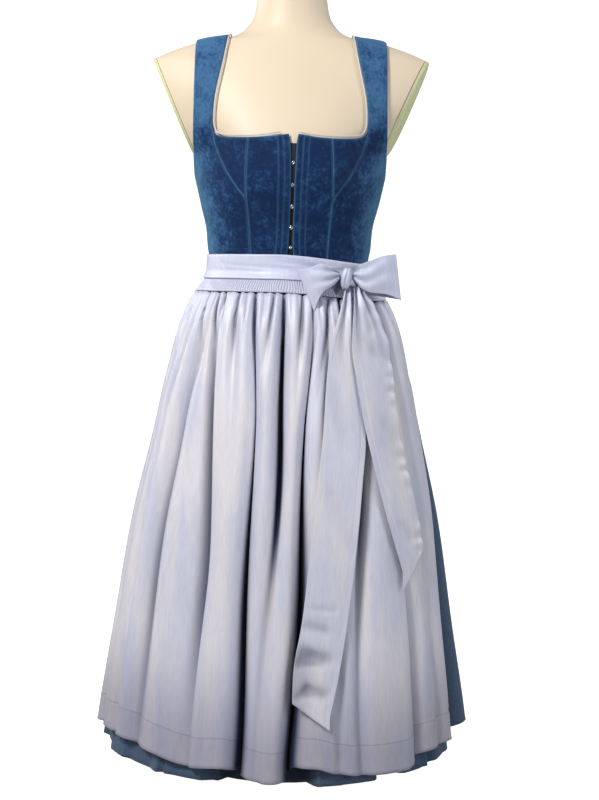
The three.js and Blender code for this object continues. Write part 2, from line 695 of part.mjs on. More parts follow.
function skirtDepth(degrees, z) {
  const own = foldDepth(skirtFolds, degrees, z) * gathered(z);
  let deepest = 0;
  for (let turn = -underApron.spread; turn <= underApron.spread; turn += 1) {
    deepest = Math.max(deepest, apronDepth(degrees + turn, z));
  }
  const cover = apronCover(degrees, z);
  const opening = smooth((underApron.topAt - z) / (underApron.topAt - underApron.fullBelow));
  const clearance = mix(underApron.least, underApron.clearance, opening);
  const under = Math.max(own, deepest + clearance);
  const room = valueAt(skirtRings, 'half', z) - valueAt(bodyRings, 'half', z);
  const roomAboveForm = room + formInset - cloth.skirt - 0.8;
  const depth = mix(Math.max(own, underApron.least), under, cover);
  return z > stand.formEnd - 10 ? Math.min(depth, roomAboveForm) : depth;
}

const skirtEnvelope = (phi, z) => ringPoint(skirtRings, phi, z);
const pleated = (depthAt) => (phi, z) => {
  const degrees = (phi * 180) / Math.PI;
  return movedOut(skirtEnvelope, phi, z, -depthAt(degrees, z));
};
const apronSurface = pleated(apronDepth);
const skirtSurface = pleated(skirtDepth);

const skirtLevels = [0, 0.12, 0.3, 0.51, 0.7, 0.86, 0.95, 0.985, 1];
function hemLift(degrees) {
  const away = Math.abs(degrees - skirtHemLift.angle);
  return skirtHemLift.height * smooth(1 - away / skirtHemLift.reach);
}

function addSkirt() {
  for (const { name, from, to, first, last, stops } of skirtWidths) {
    const seam = (180 / Math.PI) * seamAngle;
    const inside = skirtFolds.slice(first, last).map((fold) => fold.angle);
    const lines = [Array(4).fill(from + seam), ...inside, Array(4).fill(to - seam)];
    const columns = stops.length * (lines.length - 1);
    const at = (out) => (j, i) => {
      const level = mix(hemHeight, waist.skirtTop, skirtLevels[i]);
      const degrees = lineAngle(lines, stops, j, level);
      const z = mix(hemHeight + hemLift(degrees), waist.skirtTop, skirtLevels[i]);
      return movedOut(skirtSurface, radians(degrees), z, out, 0.01, 1);
    };
    add(`skirt_${name}`, wall(skirtLevels.length - 1, columns, at(0), at(-cloth.skirt)), crepe);
  }
}

// The angle of a column that follows the fold lines, between two of them.
function lineAngle(lines, stops, j, z) {
  const k = Math.floor(j / stops.length);
  if (k >= lines.length - 1) return foldAt(lines[lines.length - 1], z);
  return mix(foldAt(lines[k], z), foldAt(lines[k + 1], z), stops[j % stops.length]);
}

const apronLevels = [0, 0.12, 0.28, 0.46, 0.64, 0.8, 0.93, 1];
const columnLines = [1, 3, 4, 6, 7, 8, 10, 11].map((k) => apronFolds[k].angle);
const apronLines = [apronLeftEdge, ...columnLines, apronRightEdge];
const lineStops = [0, 0.14, 0.4, 0.84];

function addApron() {
  const columns = lineStops.length * (apronLines.length - 1);
  const at = (out) => (j, i) => {
    const level = mix(lowestHem, shirring.bottom, apronLevels[i]);
    const degrees = lineAngle(apronLines, lineStops, j, level);
    const top = shirring.bottom - 3 * seamGap - bowPull(degrees);
    const z = mix(valueAt(apronHem, 'height', degrees, 'angle'), top, apronLevels[i]);
    return movedOut(apronSurface, radians(degrees), z, out, 0.006, 1);
  };
  const panel = wall(apronLevels.length - 1, columns, at(0), at(-cloth.apron));
  add('apron_panel', panel, taffeta);

  const bandColumns = 26;
  const band = (out) => (j, i) => {
    const degrees = mix(foldAt(apronLeftEdge, 620), foldAt(apronRightEdge, 620), j / bandColumns);
    const z = mix(shirring.bottom, shirring.top, i) - bowPull(degrees);
    return movedOut(skirtEnvelope, radians(degrees), z, out);
  };
  add('apron_shirring', wall(1, bandColumns, band(0), band(-shirring.thick)), taffeta);
}

// The tie wraps the waist as a flat sash.
function addSash() {
  const columns = 44;
  const at = (out) => (j, i) => {
    const degrees = (360 * j) / columns - 180;
    const z = waist.sash - bowPull(degrees) + waist.sashHeight * (i - 0.5);
    return movedOut(skirtEnvelope, radians(degrees), z, out).setZ(z);
  };
  add('tie_sash', wall(1, columns, at(3.0), at(1.8), true), taffeta);
}

// ---- The bow ------------------------------------------------------------------------
// A flat ribbon folded back on itself: out along its front, round the fold and back.
function loopGeometry({ reach, slant }) {
  const along = 14;
  const across = 4;
  const middle = (j, i) => {
    const w = (2 * j) / along;
    const s = w <= 1 ? w : 2 - w;
    const front = w <= 1 ? 1 : -1;
    const v = i / across;
    const fullness = Math.sqrt(clamp(1 - (2 * v - 1) ** 2 * 0.55, 0, 1));
    const nearFold = Math.cos((Math.PI / 2) * clamp((s - 0.86) / 0.14, 0, 1));
    const bulge = valueAt(reach, 'bulge', s, 's') * fullness * (s > 0.86 ? nearFold : 1);
    const x = valueAt(reach, 'x', s, 's') - slant * s * (v - 0.5) * 1.6;
    const z = mix(valueAt(reach, 'low', s, 's'), valueAt(reach, 'high', s, 's'), v);
    const share = Math.min(x / valueAt(skirtRings, 'half', z), 0.9);
    const behind = valueAt(skirtRings, 'front', z) * Math.sqrt(1 - share * share);
    const y = Math.min(valueAt(reach, 'y', s, 's'), -behind - 5 - bulge) - front * bulge;
    return new THREE.Vector3(x, y, z);
  };
  const at = (out) => (j, i) => {
    const near = 0.25;
    const across1 = middle(Math.min(along, j + near), i).sub(middle(Math.max(0, j - near), i));
    const up = middle(j, Math.min(across, i + near)).sub(middle(j, Math.max(0, i - near)));
    return middle(j, i).addScaledVector(across1.cross(up).normalize(), out);
  };
  return wall(across, along, at(cloth.tie / 2), at(-cloth.tie / 2));
}

function tailGeometry(table, endSlope, out) {
  const rows = 14;
  const columns = 3;
  const top = table[0].z;
  const low = table[table.length - 1].z;
  const rising = [...table].reverse();
  const at = (extra) => (j, i) => {
    const u = j / columns;
    const level = i / rows;
    const foot = low + endSlope * (0.5 - u);
    const z = mix(foot, top, level);
    const x = mix(valueAt(rising, 'low', z), valueAt(rising, 'high', z), u);
    const half = valueAt(skirtRings, 'half', z);
    const phi = Math.asin(clamp(x / half, -1, 1));
    const lift = out + 3 * smooth((z - 600) / 60);
    return movedOut(skirtEnvelope, phi, z, lift + extra);
  };
  return wall(rows, columns, at(cloth.tie), at(0));
}

function addBow() {
  const { halfWidth, halfDeep, halfHeight } = knot;
  const knotRing = (around, i) => {
    const rise = Math.sin(radians(mix(-68, 68, i / 6)));
    const girth = Math.sqrt(1 - (0.9 * rise) ** 2);
    const turn = 2 * Math.PI * around;
    return new THREE.Vector3(
      knot.x + halfWidth * girth * Math.cos(turn),
      knot.y + halfDeep * girth * Math.sin(turn),
      knot.z + halfHeight * rise,
    );
  };
  add('bow_knot', stackedRings(7, 12, knotRing), taffeta);
  add('bow_loop_right', loopGeometry(leftLoop), taffeta);
  add('bow_loop_left', loopGeometry(rightLoop), taffeta);
  add('bow_tail_long', tailGeometry(longTail, tailEnds.longSlope, tailEnds.longOut), taffeta);
  add('bow_tail_short', tailGeometry(shortTail, tailEnds.shortSlope, tailEnds.shortOut), taffeta);
}

addForm();
addBodice();
addHooks();
addPiping();
addSkirt();
addApron();
addSash();
addBow();

export default dress;
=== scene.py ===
import math

import bmesh
import bpy
import numpy as np
from mathutils import Matrix, Vector


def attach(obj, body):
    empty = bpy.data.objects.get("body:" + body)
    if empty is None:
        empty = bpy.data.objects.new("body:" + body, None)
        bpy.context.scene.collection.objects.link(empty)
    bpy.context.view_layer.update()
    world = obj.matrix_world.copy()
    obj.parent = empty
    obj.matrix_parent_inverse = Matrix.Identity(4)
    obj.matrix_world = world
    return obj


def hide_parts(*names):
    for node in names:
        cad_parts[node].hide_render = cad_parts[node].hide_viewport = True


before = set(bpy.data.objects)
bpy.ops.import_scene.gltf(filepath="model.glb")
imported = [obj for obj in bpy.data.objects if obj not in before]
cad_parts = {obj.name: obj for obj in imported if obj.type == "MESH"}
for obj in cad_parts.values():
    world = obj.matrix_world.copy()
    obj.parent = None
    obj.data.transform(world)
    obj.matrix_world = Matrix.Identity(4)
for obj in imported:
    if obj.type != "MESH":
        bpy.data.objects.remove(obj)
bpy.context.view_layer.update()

# A dirndl dress on a limbless dress form. Lengths below are millimetres, angles are degrees
# round the body from the centre front towards the wearer's left. Meshes are made in metres.
mm = 0.001

# ---- Sizes shared by several pieces ----
# the form's fitting surface: half width, depth to the front and depth to the back
bodyRings = {
    "z": [470, 500, 560, 620, 670, 700, 720, 745, 780, 816, 846, 862, 885, 920, 955, 972,
          983, 993, 1001, 1009, 1020, 1040, 1075],
    "half": [136, 136, 130, 118, 109, 108, 111, 113, 121, 129.5, 136, 152, 176, 200, 211, 204,
             183, 158, 131, 86, 67, 54, 48],
    "front": [99, 99, 95, 89, 85, 84, 85, 87, 90, 94, 95, 94, 92, 86, 76, 70,
              66, 62, 59, 56, 52, 49, 47],
    "back": [109, 110, 106, 98, 90, 87, 87, 88, 92, 97, 101, 103, 103, 99, 88, 79,
             74, 68, 64, 60, 56, 52, 50],
}
bust = {"z": 818, "rise": 21, "flat": 50, "side": 40, "above": 58, "below": 40}

# the outer envelope that the tops of the skirt's and the apron's folds touch
skirtRings = {
    "z": [22, 50, 185, 342, 458, 530, 562, 595, 625, 645, 662, 676, 688, 710],
    "half": [271, 268, 248, 221, 193.5, 177, 168.5, 161, 151, 141, 130, 119, 113.5, 113.5],
    "front": [252, 249, 227, 199, 170, 152, 144, 136, 127, 118, 108, 98, 92, 92],
    "back": [254, 251, 231, 205, 178, 160, 152, 144, 134, 124, 113, 102, 95.5, 95.5],
}
waist = {"bodiceEnd": 688, "skirtTop": 687.4, "sash": 692.5, "sashHeight": 33}
bodiceOut = 4.0  # the bodice's face stands this far off the form's fitting surface
formInset = 1.4  # the form's skin lies this far inside it
hemStitch = {"height": 39, "depth": 0.9, "width": 1.5}  # the apron's turned hem and its seam


def mix(a, b, t):
    return a + (b - a) * t


def smooth(t):
    u = np.clip(t, 0, 1)
    return u * u * (3 - 2 * u)


def bell(distance, width):
    return np.exp(-(distance / width) ** 2)


# 0 before a start, easing to 1 over a reach
def eased(at, span):
    start, reach = span
    return smooth((at - start) / reach)


def noMask(u, v):
    return 0 * u


# a column's value at a height: a cubic through the rows that never overshoots them
def valueAt(table, column, at, key="z"):
    rows = np.asarray(table[key], float)
    values = np.asarray(table[column], float)
    secant = np.diff(values) / np.diff(rows)
    product = secant[:-1] * secant[1:]
    total = np.where(product > 0, secant[:-1] + secant[1:], 1)
    inner = np.where(product > 0, 2 * product / total, 0)
    slope = np.concatenate([secant[:1], inner, secant[-1:]])
    at = np.clip(np.asarray(at, float), rows[0], rows[-1])
    i = np.clip(np.searchsorted(rows, at, side="right") - 1, 0, len(rows) - 2)
    span = rows[i + 1] - rows[i]
    t = (at - rows[i]) / span
    rise = span * (t * (1 - t) ** 2 * slope[i] - t * t * (1 - t) * slope[i + 1])
    return mix(values[i], values[i + 1], t * t * (3 - 2 * t)) + rise


def ringPoint(rings, phi, z):
    half = valueAt(rings, "half", z)
    depth = np.where(np.cos(phi) > 0, valueAt(rings, "front", z), valueAt(rings, "back", z))
    return np.stack([half * np.sin(phi), -depth * np.cos(phi), z], -1)


def bodyPoint(phi, z):
    point = ringPoint(bodyRings, phi, z)
    facing = np.clip(2.5 * np.cos(phi), 0, 1)
    beside = np.maximum(0, np.abs(point[..., 0]) - bust["flat"]) / bust["side"]
    height = (z - bust["z"]) / np.where(z > bust["z"], bust["above"], bust["below"])
    point[..., 1] -= bust["rise"] * facing * np.exp(-0.5 * (beside ** 2 + height ** 2))
    return point


def skirtPoint(phi, z):
    return ringPoint(skirtRings, phi, z)


# points moved out along the surface's own normal
def movedOut(surface, phi, z, out):
    stepPhi, stepZ = 0.004, 0.6
    across = surface(phi + stepPhi, z) - surface(phi - stepPhi, z)
    up = surface(phi, z + stepZ) - surface(phi, z - stepZ)
    normal = np.cross(across, up)
    normal /= np.linalg.norm(normal, axis=-1, keepdims=True)
    return surface(phi, z) + normal * np.asarray(out)[..., None]


def angleOf(x, z):
    return np.arcsin(np.clip(x / valueAt(bodyRings, "half", z), -1, 1))


# A crease or ridge between two points of a flat pattern, in millimetres.
# A negative depth raises a ridge. bend bows its middle to the left of its direction.
def crease(x, z, start, end, depth, width, bend=0.0):
    ax, az = start
    bx, bz = end
    length = math.hypot(bx - ax, bz - az)
    dirX, dirZ = (bx - ax) / length, (bz - az) / length
    along = ((x - ax) * dirX + (z - az) * dirZ) / length
    t = np.clip(along, 0, 1)
    aside = (x - ax) * -dirZ + (z - az) * dirX - bend * 4 * t * (1 - t)
    past = (along - t) * length
    fade = smooth(t / 0.3) * smooth((1 - t) / 0.3) * 0.85 + 0.15
    return depth * fade * np.exp(-(aside ** 2 + past ** 2) / width ** 2)


def creased(x, z, rows):
    return sum(crease(x, z, *row) for row in rows)


# a smooth, uneven wander between -1 and 1 that is the same each run
def wander(a, b, size, seed=0.0):
    p, q = a / size, b / size
    first = np.sin(1.7 * p + 2.3 * np.sin(0.6 * q + seed) + 1.3 * seed)
    second = np.sin(1.9 * q + 1.8 * np.sin(0.8 * p + 2 * seed) + 0.7)
    third = np.sin(1.1 * (p + q) + 4.1 * seed)
    return (first + second + third) / 3


# ---- Meshes ----
def finishMesh(obj, material, nodes, thickness=0.0):
    obj.data.materials.append(material)
    obj.data.polygons.foreach_set("use_smooth", [True] * len(obj.data.polygons))
    if thickness:
        shell = obj.modifiers.new("shell", "SOLIDIFY")
        shell.thickness = thickness * mm
        shell.offset = -1
    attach(obj, "root")
    if nodes:
        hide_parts(*nodes)
    return obj


def newObject(name, bm):
    mesh = bpy.data.meshes.new(name)
    bm.to_mesh(mesh)
    bm.free()
    obj = bpy.data.objects.new(name, mesh)
    bpy.context.scene.collection.objects.link(obj)
    return obj


# A grid whose points are laid by pointAt(u, v), u across and v up, both from 0 to 1.
# weave is the piece's flat size in millimetres, which its UV map follows.
def clothGrid(name, columns, rows, pointAt, ring=False, flip=False, weave=(100, 100), masks=None):
    bm = bmesh.new()
    bm.loops.layers.uv.new("weave")
    bmesh.ops.create_grid(bm, x_segments=columns, y_segments=rows, size=0.5, calc_uvs=True)
    if flip:
        bmesh.ops.reverse_faces(bm, faces=bm.faces)
    obj = newObject(name, bm)
    mesh = obj.data
    flat = np.empty(len(mesh.vertices) * 3)
    mesh.vertices.foreach_get("co", flat)
    flat = flat.reshape(-1, 3)
    u, v = flat[:, 0] + 0.5, flat[:, 1] + 0.5
    mesh.vertices.foreach_set("co", (pointAt(u, v) * mm).ravel())
    uvs = np.empty(len(mesh.loops) * 2)
    mesh.uv_layers[0].data.foreach_get("uv", uvs)
    uvs = uvs.reshape(-1, 2) * np.array(weave) * mm
    mesh.uv_layers[0].data.foreach_set("uv", uvs.ravel())
    for key, maskAt in (masks or {}).items():
        values = np.broadcast_to(maskAt(u, v), u.shape).astype(np.float32)
        mesh.attributes.new(key, "FLOAT", "POINT").data.foreach_set("value", values)
    if ring:
        bm = bmesh.new()
        bm.from_mesh(mesh)
        bmesh.ops.remove_doubles(bm, verts=bm.verts, dist=1e-6)
        bm.to_mesh(mesh)
        bm.free()
    mesh.update()
    return obj


def closeHoles(bm):
    bmesh.ops.holes_fill(bm, edges=[e for e in bm.edges if e.is_boundary])
    bmesh.ops.recalc_face_normals(bm, faces=bm.faces)


# a closed tube round a line of points, a little narrower at its two ends
def tube(name, line, radius, sides):
    line = np.asarray(line, float)
    count = len(line) - 1
    ahead = np.gradient(line, axis=0)
    ahead /= np.linalg.norm(ahead, axis=1, keepdims=True)
    side = np.cross(ahead, (0.31, 0.17, 0.93))
    side /= np.linalg.norm(side, axis=1, keepdims=True)
    third = np.cross(ahead, side)

    def pointAt(u, v):
        i = np.rint(v * count).astype(int)
        turn = 2 * np.pi * u[:, None]
        end = np.where((i == 0) | (i == count), 0.55, 1.0)[:, None]
        return line[i] + radius * end * (side[i] * np.cos(turn) + third[i] * np.sin(turn))

    obj = clothGrid(name, sides, count, pointAt, ring=True, weave=(10, 100))
    bm = bmesh.new()
    bm.from_mesh(obj.data)
    closeHoles(bm)
    bm.to_mesh(obj.data)
    bm.free()
    return obj


# ---- Shared shader groups ----
def newGroup(name, inputs, outputs):
    group = bpy.data.node_groups.new(name, "ShaderNodeTree")
    for title, value in inputs.items():
        socket = group.interface.new_socket(title, in_out="INPUT", socket_type="NodeSocketFloat")
        socket.default_value = value
    for title in outputs:
        group.interface.new_socket(title, in_out="OUTPUT", socket_type="NodeSocketFloat")
    start = group.nodes.new("NodeGroupInput")
    end = group.nodes.new("NodeGroupOutput")
    return group, start, end


def mathNode(tree, kind, first, second=None, third=None):
    node = tree.nodes.new("ShaderNodeMath")
    node.operation = kind
    for socket, value in zip(node.inputs, (first, second, third)):
        if value is None:
            continue
        if isinstance(value, (int, float)):
            socket.default_value = value
        else:
            tree.links.new(value, socket)
    return node.outputs[0]


# two noises on Object coordinates, a coarse drift and a fine grain, each round 0.5
def makeGrainGroup():
    group, start, end = newGroup("clothGrain", {"Coarse": 20.0, "Fine": 600.0}, ["Drift", "Grain"])
    place = group.nodes.new("ShaderNodeTexCoord")
    for size, detail, result in (("Coarse", 3.0, "Drift"), ("Fine", 2.0, "Grain")):
        noise = group.nodes.new("ShaderNodeTexNoise")
        noise.inputs["Detail"].default_value = detail
        group.links.new(place.outputs["Object"], noise.inputs["Vector"])
        group.links.new(start.outputs[size], noise.inputs["Scale"])
        group.links.new(noise.outputs["Fac"], end.inputs[result])
    return group


# warp and weft threads on the piece's own UV map, as a height
def makeWeaveGroup():
    group, start, end = newGroup("threadWeave", {"Threads": 300.0}, ["Height"])
    place = group.nodes.new("ShaderNodeUVMap")
    place.uv_map = "weave"
    waves = []
    for direction in ("X", "Y"):
        wave = group.nodes.new("ShaderNodeTexWave")
        wave.bands_direction = direction
        wave.inputs["Distortion"].default_value = 0.6
        wave.inputs["Detail"].default_value = 1.0
        group.links.new(place.outputs["UV"], wave.inputs["Vector"])
        group.links.new(start.outputs["Threads"], wave.inputs["Scale"])
        waves.append(wave.outputs["Fac"])
    both = mathNode(group, "ADD", waves[0], waves[1])
    group.links.new(both, end.inputs["Height"])
    return group


grainGroup = makeGrainGroup()
weaveGroup = makeWeaveGroup()


# ---- Materials ----
def newMaterial(name, roughness, metallic=0.0, **sockets):
    material = bpy.data.materials.new(name)
    material.use_nodes = True
    shader = material.node_tree.nodes["Principled BSDF"]
    shader.inputs["Roughness"].default_value = roughness
    shader.inputs["Metallic"].default_value = metallic
    for title, value in sockets.items():
        shader.inputs[title.replace("_", " ")].default_value = value
    return material, material.node_tree, shader


def placeGroup(tree, group, **values):
    node = tree.nodes.new("ShaderNodeGroup")
    node.node_tree = group
    for title, value in values.items():
        node.inputs[title].default_value = value
    return node


def mixColours(tree, factor, first, second, blend="MIX"):
    node = tree.nodes.new("ShaderNodeMix")
    node.data_type = "RGBA"
    node.blend_type = blend
    for socket, value in ((node.inputs[0], factor), (node.inputs[6], first), (node.inputs[7], second)):
        if isinstance(value, (int, float)):
            socket.default_value = value
        elif isinstance(value, tuple):
            socket.default_value = (*value, 1)
        else:
            tree.links.new(value, socket)
    return node.outputs[2]


def ramp(tree, value, low, high):
    node = tree.nodes.new("ShaderNodeMapRange")
    node.interpolation_type = "SMOOTHSTEP"
    node.inputs["From Min"].default_value = low
    node.inputs["From Max"].default_value = high
    tree.links.new(value, node.inputs["Value"])
    return node.outputs["Result"]


def maskOf(tree, name):
    node = tree.nodes.new("ShaderNodeAttribute")
    node.attribute_name = name
    return node.outputs["Fac"]


def bumpFrom(tree, shader, height, strength, distance):
    node = tree.nodes.new("ShaderNodeBump")
    node.inputs["Strength"].default_value = strength
    node.inputs["Distance"].default_value = distance * mm
    tree.links.new(height, node.inputs["Height"])
    tree.links.new(node.outputs["Normal"], shader.inputs["Normal"])


# a noise over a vector, stretched along its axes
def stretchedNoise(tree, vector, stretch, scale):
    mapping = tree.nodes.new("ShaderNodeMapping")
    mapping.inputs["Scale"].default_value = stretch
    tree.links.new(vector, mapping.inputs["Vector"])
    noise = tree.nodes.new("ShaderNodeTexNoise")
    noise.inputs["Scale"].default_value = scale
    tree.links.new(mapping.outputs["Vector"], noise.inputs["Vector"])
    return noise.outputs["Fac"]


def axisOf(tree, vector, axis):
    node = tree.nodes.new("ShaderNodeSeparateXYZ")
    tree.links.new(vector, node.inputs["Vector"])
    return node.outputs[axis]


# velvet colours: brushed is the pale raised pile and also the painted highlight and painted sheen;
# sideSheen is a painted teal sheen on the sides
velvetLook = {
    "deep": (0.004, 0.019, 0.070),
    "mid": (0.010, 0.048, 0.140),
    "brushed": (0.055, 0.150, 0.300),
    "sideSheen": (0.040, 0.150, 0.215),
    "sheen": (0.30, 0.52, 0.85, 1),
    # the pile is lifted by random drift and grain, and by the painted sheen on the straps and sides
    "patches": {"drift": 0.34, "grain": 0.30, "pile": 0.36, "paintedSheen": 0.30},  # what lifts the pile
    "midFrom": (0.45, 0.66),
    "brushedAndSheenFrom": (0.54, 0.84),
    "most": {"brushed": 0.85, "seam": 0.72, "side": 0.55},
}


# crushed pile: dark where it lies down, pale where it stands up; the same pale colour is a painted
# highlight at seams and on edges and a painted sheen on the straps and sides, and a painted teal sheen
# tints the sides
def makeVelvet():
    material, tree, shader = newMaterial(
        "velvet", 0.8, Sheen_Weight=0.32, Sheen_Roughness=0.35,
        Sheen_Tint=velvetLook["sheen"], Specular_IOR_Level=0.15,
    )
    broad = placeGroup(tree, grainGroup, Coarse=30.0, Fine=105.0)
    pile = placeGroup(tree, grainGroup, Coarse=240.0, Fine=1400.0)
    parts = velvetLook["patches"]
    lift = mathNode(tree, "MULTIPLY", broad.outputs["Drift"], parts["drift"])
    for source, part in ((broad.outputs["Grain"], "grain"), (pile.outputs["Drift"], "pile"),
                         (maskOf(tree, "paintedSheen"), "paintedSheen")):
        lift = mathNode(tree, "ADD", lift, mathNode(tree, "MULTIPLY", source, parts[part]))
    colour = mixColours(tree, ramp(tree, lift, *velvetLook["midFrom"]),
                        velvetLook["deep"], velvetLook["mid"])
    pileAndSheenLift = ramp(tree, lift, *velvetLook["brushedAndSheenFrom"])
    for mask, part, paint in ((pileAndSheenLift, "brushed", "brushed"), (maskOf(tree, "seam"), "seam", "brushed"),
                              (maskOf(tree, "side"), "side", "sideSheen")):
        share = mathNode(tree, "MULTIPLY", mask, velvetLook["most"][part])
        colour = mixColours(tree, share, colour, velvetLook[paint])
    tree.links.new(colour, shader.inputs["Base Color"])
    fibres = mathNode(tree, "ADD", pile.outputs["Grain"], pile.outputs["Drift"])
    bumpFrom(tree, shader, fibres, 0.35, 0.5)
    return material


taffetaLook = {
    "plain": (0.520, 0.530, 0.645),
    # warmSheen: a painted sheen, laid in random patches that run down the folds
    "warmSheen": (0.625, 0.605, 0.655),
    "cool": (0.565, 0.595, 0.755),
    "shade": (0.014, 0.022, 0.068),
    # low: the colour that the painted shade towards the hem multiplies by
    "low": (0.560, 0.555, 0.600),
    "stitch": (0.180, 0.185, 0.260),
    "sheenStreak": (0.92, 0.925, 0.94),
    "driftSize": 42.0,
    "driftStretch": (1.0, 0.5, 0.08),  # the warm and cool drift runs down the folds
    "coolFrom": (0.58, 0.69),  # metres above the floor
    "streakStretch": (1.0, 0.12, 1.0),  # along the warp
    "streakSize": 380.0,
    "rippleSize": 150.0,
    "threads": 420.0,
    "roughness": {"least": 0.33, "grain": 0.12},
}
stitchLook = {"waver": 0.0016, "below": 0.0008, "line": (0.0004, 0.0012), "beside": (0.002, 0.016),
              "colour": 0.55, "sunk": 3.0, "puckers": 9.0, "ripples": 5.0}


# fine taffeta: a soft gloss, a slight drift of colour in which the warmer patches are a painted sheen, a
# cooler tone at the waist, and close threads
def makeTaffeta():
    look = taffetaLook
    material, tree, shader = newMaterial(
        "taffeta", 0.40, Specular_IOR_Level=0.50, Anisotropic=0.5, Coat_Weight=0.06, Coat_Roughness=0.3,
        Sheen_Weight=0.15, Sheen_Roughness=0.3, Sheen_Tint=(1.0, 0.95, 0.88, 1),
    )
    grain = placeGroup(tree, grainGroup, Coarse=7.0, Fine=1800.0)
    inRoom = tree.nodes.new("ShaderNodeTexCoord").outputs["Object"]
    flatMap = tree.nodes.new("ShaderNodeUVMap")
    flatMap.uv_map = "weave"
    onCloth = flatMap.outputs["UV"]

    # cooler at the waist, with faint painted sheen in thin lines along the warp, and a painted shade that
    # darkens it towards the turned hem
    # painted sheen: random patches stretched down the folds mix the plain colour towards warmSheen
    drift = stretchedNoise(tree, inRoom, look["driftStretch"], look["driftSize"])
    colour = mixColours(tree, ramp(tree, drift, 0.32, 0.68), look["plain"], look["warmSheen"])
    high = ramp(tree, axisOf(tree, inRoom, "Z"), *look["coolFrom"])
    colour = mixColours(tree, high, colour, look["cool"])
    ripple = stretchedNoise(tree, onCloth, look["streakStretch"], look["rippleSize"])
    # painted sheen: thin lines along the warp are dimmed where the noise is low
    sheenStreaks = stretchedNoise(tree, onCloth, look["streakStretch"], look["streakSize"])
    sheenStreaked = mixColours(tree, 1.0, colour, look["sheenStreak"], "MULTIPLY")
    colour = mixColours(tree, ramp(tree, sheenStreaks, 0.3, 0.7), sheenStreaked, colour)
    # painted shade: darker towards the hem, by the turned mask
    dimmed = mixColours(tree, 1.0, colour, look["low"], "MULTIPLY")
    colour = mixColours(tree, maskOf(tree, "turned"), colour, dimmed)

    # the hem's line of stitches, with small puckers beside it
    above = mathNode(tree, "MULTIPLY_ADD", ripple, stitchLook["waver"], axisOf(tree, onCloth, "Y"))
    seamHeight = hemStitch["height"] * mm + stitchLook["below"]
    away = mathNode(tree, "ABSOLUTE", mathNode(tree, "SUBTRACT", above, seamHeight))
    onHem = ramp(tree, maskOf(tree, "turned"), 0.1, 0.3)

    def nearStitch(reach):
        close = mathNode(tree, "SUBTRACT", 1.0, ramp(tree, away, *reach))
        return mathNode(tree, "MULTIPLY", close, onHem)

    line = nearStitch(stitchLook["line"])
    beside = nearStitch(stitchLook["beside"])
    stitched = mathNode(tree, "MULTIPLY", line, stitchLook["colour"])
    colour = mixColours(tree, stitched, colour, look["stitch"])
    colour = mixColours(tree, maskOf(tree, "deep"), colour, look["shade"])
    tree.links.new(colour, shader.inputs["Base Color"])
    rough = mathNode(tree, "MULTIPLY_ADD", grain.outputs["Grain"], look["roughness"]["grain"],
                     look["roughness"]["least"])
    tree.links.new(rough, shader.inputs["Roughness"])

    weave = placeGroup(tree, weaveGroup, Threads=look["threads"])
    puckers = mathNode(tree, "MULTIPLY", mathNode(tree, "MULTIPLY", ripple, beside), stitchLook["puckers"])
    sunk = mathNode(tree, "MULTIPLY", line, stitchLook["sunk"])
    relief = mathNode(tree, "SUBTRACT", puckers, sunk)
    relief = mathNode(tree, "ADD", relief, weave.outputs["Height"])
    relief = mathNode(tree, "ADD", relief, mathNode(tree, "MULTIPLY", ripple, stitchLook["ripples"]))
    bumpFrom(tree, shader, relief, 0.16, 0.15)
    return material


crepeLook = {"plain": (0.044, 0.075, 0.128), "light": (0.070, 0.110, 0.178), "shade": (0.008, 0.012, 0.022)}


# pebbled crepe: small uneven grains, matt
def makeCrepe():
    material, tree, shader = newMaterial(
        "crepe", 0.86, Specular_IOR_Level=0.25, Sheen_Weight=0.12, Sheen_Roughness=0.4,
        Sheen_Tint=(0.7, 0.85, 1.0, 1),
    )
    grain = placeGroup(tree, grainGroup, Coarse=9.0, Fine=750.0)
    colour = mixColours(tree, ramp(tree, grain.outputs["Grain"], 0.36, 0.64),
                        crepeLook["plain"], crepeLook["light"])
    colour = mixColours(tree, maskOf(tree, "deep"), colour, crepeLook["shade"])
    tree.links.new(colour, shader.inputs["Base Color"])
    bumpFrom(tree, shader, grain.outputs["Grain"], 0.45, 0.6)
    return material


# a smooth finish that drifts between two colours
def makePlain(name, base, second, roughness, bump=0.0, **sockets):
    material, tree, shader = newMaterial(name, roughness, **sockets)
    grain = placeGroup(tree, grainGroup, Coarse=6.0, Fine=900.0)
    colour = mixColours(tree, ramp(tree, grain.outputs["Drift"], 0.35, 0.65), base, second)
    tree.links.new(colour, shader.inputs["Base Color"])
    if bump:
        bumpFrom(tree, shader, grain.outputs["Grain"], bump, 0.3)
    return material


velvet = makeVelvet()
taffeta = makeTaffeta()
crepe = makeCrepe()
pipingSatin = makePlain("pipingSatin", (0.50, 0.48, 0.47), (0.58, 0.56, 0.54), 0.38, 0.1)
blackCloth = makePlain("blackCloth", (0.004, 0.004, 0.007), (0.010, 0.010, 0.014), 0.85, 0.3)
hookMetal = makePlain("hookMetal", (0.80, 0.81, 0.83), (0.70, 0.71, 0.74), 0.22, 0.0, metallic=1.0)
formCover = makePlain("formCover", (0.665, 0.555, 0.415), (0.690, 0.580, 0.440), 0.48, 0.05,
                      Sheen_Weight=0.1, Specular_IOR_Level=0.4)
plateCover = makePlain("plateCover", (0.560, 0.575, 0.300), (0.620, 0.630, 0.360), 0.45, 0.05)
standMetal = makePlain("standMetal", (0.50, 0.51, 0.53), (0.42, 0.43, 0.45), 0.35, 0.1, metallic=1.0)
floorPaint = makePlain("floorPaint", (0.50, 0.50, 0.50), (0.52, 0.52, 0.52), 0.9)
print("materials made")

